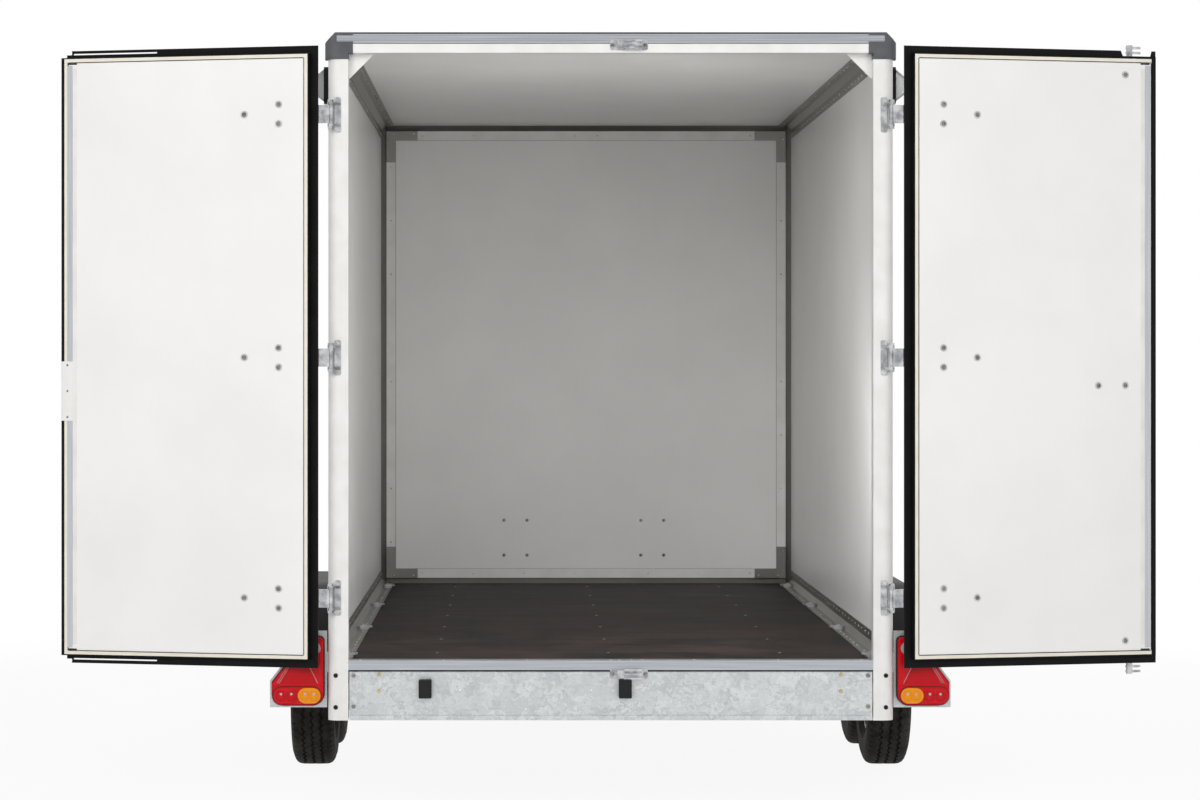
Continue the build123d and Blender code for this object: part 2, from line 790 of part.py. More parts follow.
def trailer_axle(wheel_y):
    """Rubber torsion axle: square tube, trailing arms, brake plates and spindles."""
    tube_y = wheel_y + axle_ahead
    with BuildPart() as beam:
        with BuildSketch(Plane.YZ.offset(arm_inner)):
            with Locations((tube_y, axle_tube_z)):
                Circle(44)
            with Locations((wheel_y, wheel_radius)):
                Circle(36)
            make_hull()
        extrude(amount=arm_outer - arm_inner)
        with BuildSketch(Plane.YZ.offset(arm_outer)):
            with Locations((wheel_y, wheel_radius)):
                Circle(110)
        extrude(amount=6)
        with BuildSketch(Plane.YZ.offset(arm_outer)):
            with Locations((wheel_y, wheel_radius)):
                Circle(spindle_radius)
        extrude(amount=spindle_end - arm_outer)
        # saddle under the chassis rail
        with BuildSketch(Plane.YZ.offset(rail_outer - rail_width)):
            with Locations((tube_y, rail_top - rail_height - 3)):
                Rectangle(170, 6)
            with Locations((tube_y, rail_top - rail_height - 33)):
                Rectangle(98, 66)
        extrude(amount=rail_width)
        mirror(about=Plane.YZ)
        with BuildSketch(Plane.YZ.offset(-arm_inner)):
            with Locations((tube_y, axle_tube_z)):
                RectangleRounded(axle_tube, axle_tube, 8)
        extrude(amount=2 * arm_inner)
    return beam.part


for name, wheel_y in (("rear", rear_axle_y), ("front", front_axle_y)):
    with BuildPart() as axle_beam:
        add(trailer_axle(wheel_y))
    axle_beam.part.label = f"axle_{name}"
    export_step(axle_beam.part, f"parts/axle_{name}.step")

bead = 165.0
rim_half = 64.0
lip = 15.0  # height of the rim's outer lip
shoulder = 14.0
with BuildPart() as tyre:
    with BuildSketch(Plane.XY):
        outline(
            [
                (-tyre_width / 2, bead),
                (tyre_width / 2, bead),
                (tyre_width / 2, wheel_radius - shoulder),
                (tyre_width / 2 - shoulder + 3, wheel_radius),
                (shoulder - 3 - tyre_width / 2, wheel_radius),
                (-tyre_width / 2, wheel_radius - shoulder),
            ]
        )
    revolve(axis=Axis.X)

hub_inner = arm_outer + 12 - tyre_centre
hub_bore = spindle_radius + running_gap
barrel_radius = bead - lip
drum_radius = 101.0
disc_outer = 34.0
disc_inner = 28.0
vent_count = 10
vent_radius = 126.0
with BuildPart() as rim:
    with BuildSketch(Plane.XY):
        outline(
            [
                # bed of the rim, with a lip on each side
                (-rim_half, barrel_radius),
                (-rim_half, bead),
                (rim_half, bead),
                (rim_half, barrel_radius),
                # disc with its raised bolting face and hub cap
                (disc_outer, barrel_radius),
                (disc_outer, 34),
                (58, 34),
                (58, 0),
                (spindle_end + 7 - tyre_centre, 0),
                (spindle_end + 7 - tyre_centre, hub_bore),
                # brake drum behind the disc
                (hub_inner, hub_bore),
                (hub_inner, drum_radius),
                (disc_inner, drum_radius),
                (disc_inner, barrel_radius),
            ]
        )
    revolve(axis=Axis.X)
    with BuildSketch(Plane.YZ.offset(disc_inner - 12)):
        with PolarLocations(vent_radius, vent_count):
            Rectangle(18, 36)
    extrude(amount=20, mode=Mode.SUBTRACT)

for row, wheel_y in (("rear", rear_axle_y), ("front", front_axle_y)):
    for side, turn, name in ((1, 0, "right"), (-1, 180, "left")):
        seat = Location((side * tyre_centre, wheel_y, wheel_radius), (0, 0, turn))
        with BuildPart() as placed_tyre:
            add(tyre.part.moved(seat))
        placed_tyre.part.label = f"tyre_{row}_{name}"
        export_step(placed_tyre.part, f"parts/tyre_{row}_{name}.step")
        with BuildPart() as placed_rim:
            add(rim.part.moved(seat))
        placed_rim.part.label = f"rim_{row}_{name}"
        export_step(placed_rim.part, f"parts/rim_{row}_{name}.step")

# ---------------------------------------------------------------- mudguards

guard_radius = 408.0
guard_inner = body_half + edge_skin
guard_outer = 1206.0
guard_skin = 4.0
guard_lip = 32.0
guard_bevel = 20.0
guard_end_z = 400.0


def guard_profile(shrink):
    """Side view of the tandem guard, shrunk by the given amount, open at its foot."""
    with Locations((rear_axle_y, wheel_radius), (front_axle_y, wheel_radius)):
        Circle(guard_radius - shrink)
    with Locations(((rear_axle_y + front_axle_y) / 2, wheel_radius + (guard_radius - shrink) / 2)):
        Rectangle(axle_spacing, guard_radius - shrink)
    with Locations(((rear_axle_y + front_axle_y) / 2, guard_end_z - 500)):
        Rectangle(3000, 1000, mode=Mode.SUBTRACT)


for side, name in ((1, "right"), (-1, "left")):
    with BuildPart() as mudguard:
        with BuildSketch(Plane.YZ.offset(guard_inner)):
            guard_profile(0)
        extrude(amount=guard_outer - guard_inner)
        outer_edges = mudguard.edges().group_by(Axis.X)[-1]
        shoulder = outer_edges.filter_by(lambda edge: edge.center().Z > guard_end_z + 1)
        chamfer(shoulder, guard_bevel)
        open_faces = mudguard.faces().sort_by(Axis.X)[:1] + mudguard.faces().group_by(Axis.Z)[0]
        offset(amount=-guard_skin, openings=open_faces)
        with BuildSketch(Plane.YZ.offset(guard_inner)):
            guard_profile(guard_lip)
        extrude(amount=guard_outer - guard_inner, mode=Mode.SUBTRACT)
        # flange that is fastened to the side wall
        with BuildSketch(Plane.YZ.offset(body_half)):
            with Locations(((rear_axle_y + front_axle_y) / 2, wheel_radius + guard_radius - 42)):
                Rectangle(axle_spacing - 40, 80)
        extrude(amount=edge_skin + 3)
        if side < 0:
            mirror(about=Plane.YZ, mode=Mode.REPLACE)
    mudguard.part.label = f"mudguard_{name}"
    export_step(mudguard.part, f"parts/mudguard_{name}.step")

# ---------------------------------------------------------------- lamps

lamp_seat_y = rear_y + 62.0  # rear face of the lamp brackets
with BuildPart() as tail_lamp_brackets:
    with BuildSketch(Plane.XZ.offset(-lamp_seat_y)):
        outline([(976, 373), (1173, 373), (1173, 465), (1137, 512), (1062, 637), (976, 637)])
    extrude(amount=-3)
    with BuildSketch(Plane.YZ.offset(976)):
        with Locations((lamp_seat_y + 25, 528)):
            Rectangle(50, 60)
    extrude(amount=3)
    mirror(about=Plane.YZ)
tail_lamp_brackets.part.label = "tail_lamp_brackets"
export_step(tail_lamp_brackets.part, "parts/tail_lamp_brackets.step")

housing_depth = 20.0
lens_depth = 43.0
lens_gap = 2.5
proud = 4.0  # how far the single lamps stand out of the lens
lens_y = lamp_seat_y - lens_depth
indicator = (1035.0, 417.0)
brake_lamp = (1117.0, 417.0)
reversing = (1018.0, 580.0)
with BuildSketch() as lamp_shape:
    outline([(984, 380), (1166, 380), (1166, 462), (1129, 510), (1062, 620), (984, 620)])
    fillet(lamp_shape.vertices().group_by(Axis.Y)[0], 42)
    fillet(lamp_shape.vertices().group_by(Axis.Y)[-1], 18)

with BuildPart() as tail_lamp_housings:
    with BuildSketch(Plane.XZ.offset(-lamp_seat_y)):
        add(lamp_shape.sketch)
    extrude(amount=housing_depth)
    mirror(about=Plane.YZ)
tail_lamp_housings.part.label = "tail_lamp_housings"
export_step(tail_lamp_housings.part, "parts/tail_lamp_housings.step")

with BuildPart() as tail_lamps:
    with BuildSketch(Plane.XZ.offset(housing_depth - lamp_seat_y)):
        add(lamp_shape.sketch)
        offset(amount=-lens_gap)
    extrude(amount=lens_depth - housing_depth)
    chamfer(tail_lamps.faces().sort_by(Axis.Y)[0].edges(), 3)
    # line between the two chambers
    with Locations((1075, lens_y, 451)):
        Box(200, 4, 2, mode=Mode.SUBTRACT)
    # brake lamp, ring of the reversing lamp and triangular reflector
    with BuildSketch(Plane.XZ.offset(-lens_y)):
        with Locations(brake_lamp):
            SlotOverall(80, 53)
        with Locations(reversing):
            Circle(29)
    extrude(amount=proud)
    with BuildSketch(Plane.XZ.offset(-lens_y)):
        outline([(1006, 458), (1146, 458), (1070, 580)])
    extrude(amount=proud / 2)
    # seats of the amber and the clear lens
    with BuildSketch(Plane.XZ.offset(-(lens_y + proud))):
        with Locations(indicator):
            SlotOverall(78, 53)
        with Locations(reversing):
            Circle(22)
    extrude(amount=2 * proud, mode=Mode.SUBTRACT)
    mirror(about=Plane.YZ)
tail_lamps.part.label = "tail_lamps"
export_step(tail_lamps.part, "parts/tail_lamps.step")

with BuildPart() as tail_lamp_indicators:
    with BuildSketch(Plane.XZ.offset(-(lens_y + proud))):
        with Locations(indicator):
            SlotOverall(78, 53)
    extrude(amount=2 * proud)
    mirror(about=Plane.YZ)
tail_lamp_indicators.part.label = "tail_lamp_indicators"
export_step(tail_lamp_indicators.part, "parts/tail_lamp_indicators.step")

with BuildPart() as tail_lamp_reversing:
    with BuildSketch(Plane.XZ.offset(-(lens_y + proud))):
        with Locations(reversing):
            Circle(22)
    extrude(amount=2 * proud)
    mirror(about=Plane.YZ)
tail_lamp_reversing.part.label = "tail_lamp_reversing"
export_step(tail_lamp_reversing.part, "parts/tail_lamp_reversing.step")

with BuildPart() as plate_lamps:
    with BuildSketch(Plane.XZ.offset(-(rear_y + 2))):
        with Locations((-636, 444), (49, 444)):
            RectangleRounded(44, 63, 4)
    extrude(amount=34)
plate_lamps.part.label = "plate_lamps"
export_step(plate_lamps.part, "parts/plate_lamps.step")

marker_y = rear_y + 135.0
marker_z = 2521.0
with BuildPart() as marker_lamps:
    with BuildSketch(Plane.YZ.offset(body_half)):
        with Locations((marker_y, marker_z)):
            RectangleRounded(62, 128, 18)
    extrude(amount=20)
    mirror(about=Plane.YZ)
marker_lamps.part.label = "marker_lamps"
export_step(marker_lamps.part, "parts/marker_lamps.step")

with BuildPart() as marker_lenses:
    for out, width, height in ((20, 46, 112), (56, 34, 56)):
        with BuildSketch(Plane.YZ.offset(body_half + out)):
            with Locations((marker_y, marker_z)):
                cut_corner(width, height, 8)
    loft()
    mirror(about=Plane.YZ)
marker_lenses.part.label = "marker_lenses"
export_step(marker_lenses.part, "parts/marker_lenses.step")

# ---------------------------------------------------------------- hinges and keepers on the frame

hinge_half = 60.0
barrel_half = 31.0
ear_thick = 10.0
nut_thick = 8.0
pin_y = rear_y - hinge_back
with BuildPart() as hinge_plates:
    for height in hinge_heights:
        with BuildSketch(Plane.XZ.offset(-rear_y)):
            with Locations((936, height)):
                cut_corner(22, 2 * hinge_half, 4)
        extrude(amount=5)
        for direction in (1, -1):
            inner_z = height + direction * (barrel_half + 1)
            outer_z = inner_z + direction * ear_thick
            with BuildSketch(Plane.XY.offset(inner_z)):
                with Locations((hinge_x, pin_y)):
                    Circle(11)
                with Locations((936, rear_y - 4)):
                    Rectangle(20, 8)
                make_hull()
            extrude(amount=direction * ear_thick)
            # nut on the end of the pin
            with BuildSketch(Plane.XY.offset(outer_z)):
                with Locations((hinge_x, pin_y)):
                    RegularPolygon(10, 6)
            extrude(amount=direction * nut_thick)
        with BuildSketch(Plane.XY.offset(height - barrel_half - 1)):
            with Locations((hinge_x, pin_y)):
                Circle(pin_radius)
        extrude(amount=2 * (barrel_half + 1))
    mirror(about=Plane.YZ)
hinge_plates.part.label = "hinge_plates"
export_step(hinge_plates.part, "parts/hinge_plates.step")

rod_x = 77.0
keeper_left = -3.0
keeper_right = 127.0
keepers_z = (2649.0, 494.0)
keeper_height = 35.0
keeper_block = 20.0  # the keeper's block stands this far out, and its bars a little less
keeper_bar = 6.0
block_left = 20.0
block_right = 48.0
bars_right = 106.0
with BuildPart() as lock_keepers:
    for height in keepers_z:
        with BuildSketch(Plane.XZ.offset(-rear_y)):
            with Locations(((keeper_left + keeper_right) / 2, height)):
                RectangleRounded(keeper_right - keeper_left, keeper_height, 8)
        extrude(amount=2)
        with BuildSketch(Plane.XZ.offset(-rear_y)):
            with Locations(((block_left + block_right) / 2, height)):
                Rectangle(block_right - block_left, keeper_height - 4)
        extrude(amount=keeper_block, taper=6)
        # three bars, with the slots for the cams' fins between them
        with BuildSketch(Plane.XZ.offset(-rear_y)):
            with Locations(((block_right + bars_right) / 2 - 2, height)):
                with GridLocations(1, (keeper_height - keeper_bar) / 2, 1, 3):
                    Rectangle(bars_right - block_right + 4, keeper_bar)
        extrude(amount=keeper_block - 2)
lock_keepers.part.label = "lock_keepers"
export_step(lock_keepers.part, "parts/lock_keepers.step")

# ---------------------------------------------------------------- doors, built open on the right and mirrored

leaf_height = leaf_top - leaf_bottom
leaf_mid_z = (leaf_top + leaf_bottom) / 2
leaf_end = leaf_hinge_side + leaf_width
leaf_mid = leaf_hinge_side + leaf_width / 2
arm_groove = 24.0
arm_groove_mid = 24.0
seal_hinge = 30.0
seal_top = 30.0
seal_bottom = 32.0
seal_side = 4.0
lip_thick = 3.0
rib_height = 2.0
shadow_gap = 2.0
notch_depth = 18.5
notch_start = 842.0
notch_end = 945.0


def leaf_ring(low_x, high_x, low_z, high_z):
    """Adds the ring between the given outside and the leaf's own edge to the open sketch."""
    with Locations((-(low_x + high_x) / 2, (low_z + high_z) / 2)):
        Rectangle(high_x - low_x, high_z - low_z)
    with Locations((-leaf_mid, leaf_mid_z)):
        Rectangle(leaf_width, leaf_height, mode=Mode.SUBTRACT)


for side, name in ((1, "right"), (-1, "left")):
    with BuildPart() as door_panel:
        with BuildSketch(door_face_plane(leaf_inner)):
            with Locations((-leaf_mid, leaf_mid_z)):
                Rectangle(leaf_width - 2 * frame_edge, leaf_height - 2 * frame_edge)
        extrude(amount=leaf_thick)
        # shadow gap round the inner face
        with BuildSketch(door_face_plane(leaf_inner)):
            with Locations((-leaf_mid, leaf_mid_z)):
                Rectangle(leaf_width - 2 * frame_edge, leaf_height - 2 * frame_edge)
                Rectangle(
                    leaf_width - 2 * frame_edge - 2 * shadow_gap,
                    leaf_height - 2 * frame_edge - 2 * shadow_gap,
                    mode=Mode.SUBTRACT,
                )
        extrude(amount=shadow_gap, mode=Mode.SUBTRACT)
        if side < 0:
            mirror(about=Plane.YZ, mode=Mode.REPLACE)
    door_panel.part.label = f"door_{name}_panel"
    export_step(door_panel.part, f"parts/door_{name}_panel.step")

    with BuildPart() as door_frame:
        with BuildSketch(door_face_plane(leaf_inner)):
            with Locations((-leaf_mid, leaf_mid_z)):
                Rectangle(leaf_width, leaf_height)
                Rectangle(leaf_width - 2 * frame_edge, leaf_height - 2 * frame_edge, mode=Mode.SUBTRACT)
        extrude(amount=leaf_thick)
        if side < 0:
            mirror(about=Plane.YZ, mode=Mode.REPLACE)
    door_frame.part.label = f"door_{name}_frame"
    export_step(door_frame.part, f"parts/door_{name}_frame.step")

    # closed, the right-hand seal laps over the left-hand one at the middle
    free_lip = 15.0 if side > 0 else 0.0
    free_edge = 4.0 if side > 0 else 0.0
    low_x = leaf_hinge_side - seal_hinge
    high_x = leaf_end + free_lip
    low_z = leaf_bottom - seal_bottom
    high_z = leaf_top + seal_top
    with BuildPart() as door_seal:
        with BuildSketch(door_face_plane(leaf_outer - lip_thick)):
            leaf_ring(low_x, high_x, low_z, high_z)
        extrude(amount=lip_thick)
        # two ribs that run round the lip and meet in mitres
        for outer, inner in ((0, 5), (12, 18)):
            with BuildSketch(door_face_plane(leaf_outer - lip_thick - rib_height)):
                with Locations((-(low_x + high_x) / 2, (low_z + high_z) / 2)):
                    Rectangle(high_x - low_x - 2 * outer, high_z - low_z - 2 * outer)
                    Rectangle(high_x - low_x - 2 * inner, high_z - low_z - 2 * inner, mode=Mode.SUBTRACT)
                with Locations((-leaf_mid, leaf_mid_z)):
                    Rectangle(leaf_width, leaf_height, mode=Mode.SUBTRACT)
            extrude(amount=rib_height)
        # band round the edge of the leaf
        with BuildSketch(door_face_plane(leaf_inner)):
            leaf_ring(
                leaf_hinge_side - seal_side,
                leaf_end + free_edge,
                leaf_bottom - seal_side,
                leaf_top + seal_side,
            )
        extrude(amount=leaf_thick - lip_thick)
        if side > 0:
            # notch that the upper keeper passes, with the ribs cut off beside it
            notch_low = high_z - notch_depth
            with BuildSketch(door_face_plane(leaf_inner)):
                outline(
                    [
                        (-notch_start, notch_low),
                        (-notch_start + 8, high_z + 1),
                        (-notch_end - 5, high_z + 1),
                        (-notch_end, notch_low),
                    ]
                )
            extrude(amount=leaf_thick, mode=Mode.SUBTRACT)
            with BuildSketch(door_face_plane(leaf_inner)):
                with Locations((-high_x, high_z)):
                    Rectangle(2 * (high_x - notch_start + 12), 2 * notch_depth)
            extrude(amount=leaf_thick - lip_thick, mode=Mode.SUBTRACT)
        else:
            with BuildSketch(door_face_plane(leaf_inner)):
                with Locations((-(leaf_end + 5.5), leaf_mid_z)):
                    Rectangle(11, leaf_height + 2 * seal_side)
            extrude(amount=20)
            # slots and cut corners near the free edge of both lips
            with BuildSketch(door_face_plane(leaf_inner)):
                for level, corner_z in ((leaf_top + 18, high_z - 7), (leaf_bottom - 18, low_z + 7)):
                    with Locations((-(leaf_end - 177), level)):
                        Rectangle(306, 5)
                    with Locations((-(leaf_end - 9), corner_z)):
                        Rectangle(18, 14)
            extrude(amount=leaf_thick, mode=Mode.SUBTRACT)
            mirror(about=Plane.YZ, mode=Mode.REPLACE)
    door_seal.part.label = f"door_{name}_seal"
    export_step(door_seal.part, f"parts/door_{name}_seal.step")

    with BuildPart() as door_hinges:
        for height in hinge_heights:
            with BuildSketch(door_plane(height - barrel_half)):
                Circle(10)
                with Locations((20, -6 - 6)):
                    Rectangle(40, 12)
                with Locations((leaf_hinge_side / 2 + 10, leaf_outer + 6)):
                    Rectangle(leaf_hinge_side + 20, 12)
                Circle(pin_radius + running_gap, mode=Mode.SUBTRACT)
            extrude(amount=2 * barrel_half)
            # two grooves that leave three ribs on the arm
            with BuildSketch(door_face_plane(leaf_outer)):
                with Locations((-arm_groove_mid, height)):
                    with GridLocations(1, 20, 1, 2):
                        Rectangle(arm_groove, 5)
            extrude(amount=3, mode=Mode.SUBTRACT)
            with BuildSketch(door_face_plane(leaf_outer)):
                outline(
                    [
                        (-leaf_hinge_side - 4, height - 46),
                        (-leaf_hinge_side - 120, height - 46),
                        (-leaf_hinge_side - 240, height - 14),
                        (-leaf_hinge_side - 240, height + 14),
                        (-leaf_hinge_side - 120, height + 46),
                        (-leaf_hinge_side - 4, height + 46),
                    ]
                )
            extrude(amount=4)
        if side < 0:
            mirror(about=Plane.YZ, mode=Mode.REPLACE)
    door_hinges.part.label = f"door_{name}_hinges"
    export_step(door_hinges.part, f"parts/door_{name}_hinges.step")

strike_z = 1462.0
strike_height = 206.0
with BuildPart() as door_left_strike:
    with BuildSketch(door_face_plane(leaf_inner - 3)):
        with Locations((-(leaf_end - 10), strike_z)):
            Rectangle(42, strike_height)
    extrude(amount=3)
    mirror(about=Plane.YZ, mode=Mode.REPLACE)
door_left_strike.part.label = "door_left_strike"
export_step(door_left_strike.part, "parts/door_left_strike.step")

rod_along = hinge_x - rod_x
rod_out = 16.0
rod_radius = 11.0
handle_z = 1483.0
handle_half = 13.0
catch_along = rod_along - 123
fin_thick = 8.0
fin_gap = 17.0  # between the middles of a cam's two fins
with BuildPart() as lock_rod:
    with BuildSketch(door_plane(keepers_z[1] - keeper_height / 2)):
        with Locations((rod_along, rod_out)):
            Circle(rod_radius)
    extrude(amount=keepers_z[0] - keepers_z[1] + keeper_height)
    # bearing brackets, each a saddle on a plate
    for height in (612, 1280, 1690, 2549):
        with BuildSketch(door_plane(height - 16)):
            with Locations((rod_along, rod_out - 4)):
                cut_corner(36, 40, 9)
            with Locations((rod_along, leaf_outer + 5)):
                Rectangle(36, 10)
            with Locations((rod_along, leaf_outer + 2)):
                Rectangle(78, 4)
        extrude(amount=32)
    # cams with two fins each, turned out of their keepers
    for height in keepers_z:
        for fin_z in (height - fin_gap / 2, height + fin_gap / 2):
            with BuildSketch(door_plane(fin_z - fin_thick / 2)):
                with Locations((rod_along, rod_out)):
                    Circle(13)
                with Locations((rod_along + 36, rod_out)):
                    Circle(6)
                make_hull()
            extrude(amount=fin_thick)
    # handle, clamped on the rod and laid along the leaf
    with BuildSketch(door_plane(handle_z - handle_half)):
        with Locations((rod_along, rod_out)):
            Circle(17)
        outline(
            [
                (rod_along, rod_out - 10),
                (rod_along, rod_out + 17),
                (rod_along - 40, rod_out + 14),
                (rod_along - 200, rod_out + 14),
                (rod_along - 200, rod_out + 4),
                (rod_along - 44, rod_out + 4),
            ]
        )
    extrude(amount=2 * handle_half)
    # catch that holds the handle, with a post above and below it
    with BuildSketch(door_face_plane(leaf_outer)):
        with Locations((-catch_along, handle_z)):
            Rectangle(50, 84)
    extrude(amount=3)
    with BuildSketch(door_face_plane(leaf_outer)):
        with Locations((-catch_along, handle_z)):
            with GridLocations(1, 2 * handle_half + 18, 1, 2):
                Rectangle(22, 14)
    extrude(amount=rod_out + 18 - leaf_outer)
lock_rod.part.label = "lock_rod"
export_step(lock_rod.part, "parts/lock_rod.step")
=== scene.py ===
# %% [markdown]
# # An enclosed cargo trailer, dressed
#
# The trailer is a box of laminated panels on a galvanised tandem chassis, seen from behind with both rear
# doors folded back. The solids already carry every shape that has a size of its own. What this script adds is
# what a hand or an eye meets up close: the finishes, and the small things that repeat, such as screws,
# rivets and the tyres' tread.

# %% Load the trailer's solids
import json
import math

import bmesh
import bpy
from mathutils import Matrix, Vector


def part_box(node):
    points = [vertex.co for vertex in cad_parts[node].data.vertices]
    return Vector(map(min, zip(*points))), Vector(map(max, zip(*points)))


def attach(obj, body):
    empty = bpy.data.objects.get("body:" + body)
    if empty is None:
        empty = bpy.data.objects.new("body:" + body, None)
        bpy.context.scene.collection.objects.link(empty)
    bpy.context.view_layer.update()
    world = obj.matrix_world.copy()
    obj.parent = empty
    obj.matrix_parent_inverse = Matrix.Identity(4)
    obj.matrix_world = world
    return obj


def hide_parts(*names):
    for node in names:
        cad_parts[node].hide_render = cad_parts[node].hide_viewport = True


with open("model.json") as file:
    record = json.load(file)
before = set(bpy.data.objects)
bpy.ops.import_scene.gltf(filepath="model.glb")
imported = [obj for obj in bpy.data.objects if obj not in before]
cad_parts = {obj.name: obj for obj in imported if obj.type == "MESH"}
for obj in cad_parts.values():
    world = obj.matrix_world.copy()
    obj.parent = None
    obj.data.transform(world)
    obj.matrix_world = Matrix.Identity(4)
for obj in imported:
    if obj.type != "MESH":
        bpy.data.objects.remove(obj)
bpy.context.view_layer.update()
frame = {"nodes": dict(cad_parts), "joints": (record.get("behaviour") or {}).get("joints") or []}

# %% [markdown]
# ## Three places to measure from
#
# Every piece below is placed from the solids, in metres. The rear face of the door frame, the floor and the
# inner faces of the walls are met again and again, so they get names of their own.

# %% Measure the box
MM = 0.001
rear_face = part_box("rear_header")[0].y
floor_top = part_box("floor_panel")[1].z
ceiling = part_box("roof_panel")[0].z
wall_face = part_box("side_wall_right")[0].x
front_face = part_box("front_wall")[0].y
back = Vector((0, -1, 0))  # the way that the rear of the trailer faces


def face_of(node):
    """The rearmost face of a solid."""
    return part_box(node)[0].y


print("load space:", round(2 * wall_face, 3), "x", round(front_face - rear_face, 3), "x", round(ceiling - floor_top, 3))

# %% [markdown]
# ## Colours and nodes
#
# A colour picked from a chart is an sRGB code, while a shader wants linear light, so one function turns the
# first into the second. A second one adds a node with its settings and its links in a single call, which
# keeps a finish readable: each line of it is one node.


# %% Two helpers for every finish
def paint(code):
    """The linear RGBA colour of an sRGB hex code."""
    shares = [int(code[place : place + 2], 16) / 255 for place in (1, 3, 5)]
    linear = [share / 12.92 if share <= 0.04045 else ((share + 0.055) / 1.055) ** 2.4 for share in shares]
    return (*linear, 1.0)


def add(tree, kind, inputs=(), **settings):
    """Adds a node to a tree, with its settings, and with its inputs set or linked."""
    made = tree.nodes.new(kind)
    for name, value in settings.items():
        setattr(made, name, value)
    for key, value in dict(inputs).items():
        if isinstance(value, bpy.types.NodeSocket):
            tree.links.new(value, made.inputs[key])
        else:
            made.inputs[key].default_value = value
    return made


print("white as linear light:", paint("#F4F3F2"))

# %% [markdown]
# A finish starts as a Principled shader and the place on the piece. Object coordinates are metres in the
# trailer's own frame, so a pattern's scale can be worked out from a size in millimetres and carries on from
# one piece to the next.


# %% Start a finish
def new_finish(name, **sockets):
    """A new material: the material, its tree, its shader and the place on the piece."""
    finish = bpy.data.materials.new(name)
    finish.use_nodes = True
    tree = finish.node_tree
    tree.nodes.clear()
    shader = add(tree, "ShaderNodeBsdfPrincipled", {key.replace("_", " "): value for key, value in sockets.items()})
    add(tree, "ShaderNodeOutputMaterial", {"Surface": shader.outputs["BSDF"]})
    place = add(tree, "ShaderNodeTexCoord").outputs["Object"]
    return finish, tree, shader, place


def per_size(millimetres):
    """The texture scale at which one feature is that many millimetres across."""
    return 1 / (millimetres * MM)


def mottle(tree, pattern, low, high, dark, light):
    """Turns a pattern's values from low to high into a colour between two paints."""
    share = add(tree, "ShaderNodeMapRange", {"Value": pattern, "From Min": low, "From Max": high})
    mix = add(tree, "ShaderNodeMix", {"Factor": share.outputs["Result"]}, data_type="RGBA")
    mix.inputs[6].default_value = paint(dark)
    mix.inputs[7].default_value = paint(light)
    return mix.outputs[2]


def vary(tree, shader, socket, pattern, low, high):
    """Lets a pattern move one of the shader's values between low and high."""
    share = add(tree, "ShaderNodeMapRange", {"Value": pattern, "To Min": low, "To Max": high})
    tree.links.new(share.outputs["Result"], shader.inputs[socket])


def emboss(tree, shader, pattern, depth_mm, strength=1.0):
    """Gives the surface a relief that is that many millimetres deep."""
    relief = add(tree, "ShaderNodeBump", {"Height": pattern, "Distance": depth_mm * MM, "Strength": strength})
    tree.links.new(relief.outputs["Normal"], shader.inputs["Normal"])


# %% [markdown]
# ## White laminated panel
#
# The walls, roof and doors are sandwich boards with a white gel-coat skin over glass fibre. The skin is
# pressed against a polished table, so it shines softly, with a faint orange-peel ripple about 14 mm across and
# a barely uneven white. The lining inside the box has the same skin.


# %% Finish of the panels
def laminated_panel(name, light, dark):
    finish, tree, shader, place = new_finish(name, Roughness=0.3, IOR=1.5)
    cloud = add(tree, "ShaderNodeTexNoise", {"Vector": place, "Scale": per_size(420), "Detail": 3.0})
    tree.links.new(mottle(tree, cloud.outputs["Fac"], 0.35, 0.65, dark, light), shader.inputs["Base Color"])
    vary(tree, shader, "Roughness", cloud.outputs["Fac"], 0.24, 0.4)
    ripple = add(tree, "ShaderNodeTexNoise", {"Vector": place, "Scale": per_size(14), "Detail": 1.0})
    emboss(tree, shader, ripple.outputs["Fac"], 0.06, 0.5)
    return finish


gel_coat = laminated_panel("gel coat on laminated panel", "#F5F4F2", "#F0EFED")

# %% [markdown]
# ## Phenolic film on birch plywood
#
# The floor is thick birch ply under a dark brown resin film. The film lets the veneer's grain show as faint
# streaks across the trailer, and a fine mesh pressed into it keeps cargo from sliding. The streaks are noise
# stretched about seventeen times along X; the mesh is a regular grid of 3.5 mm, coarse enough to be drawn.


# %% Finish of the floor
def phenolic_floor():
    finish, tree, shader, place = new_finish("phenolic film on birch plywood", Roughness=0.6, IOR=1.2)
    along = add(tree, "ShaderNodeMapping", {"Vector": place, "Scale": (0.06, 1.0, 1.0)})
    grain = add(
        tree,
        "ShaderNodeTexNoise",
        {"Vector": along.outputs["Vector"], "Scale": per_size(40), "Detail": 8.0, "Roughness": 0.7},
    )
    scuffs = add(tree, "ShaderNodeTexNoise", {"Vector": place, "Scale": per_size(300), "Detail": 4.0})
    both = add(tree, "ShaderNodeMath", {0: grain.outputs["Fac"], 1: scuffs.outputs["Fac"]}, operation="ADD")
    tree.links.new(mottle(tree, both.outputs["Value"], 0.88, 1.14, "#0D0A09", "#382D2A"), shader.inputs["Base Color"])
    vary(tree, shader, "Roughness", scuffs.outputs["Fac"], 0.42, 0.66)
    mesh = add(tree, "ShaderNodeTexVoronoi", {"Vector": place, "Scale": per_size(3.5), "Randomness": 0.0})
    emboss(tree, shader, mesh.outputs["Distance"], 0.25, 0.35)
    return finish


floor_film = phenolic_floor()

# %% [markdown]
# ## Extruded aluminium
#
# Edge trims, sill, rails and the ribbed moulding are extrusions. The die leaves hair-thin lines along the
# length of the bar, so the noise is stretched along one axis, and each bar gets the version that runs its way.


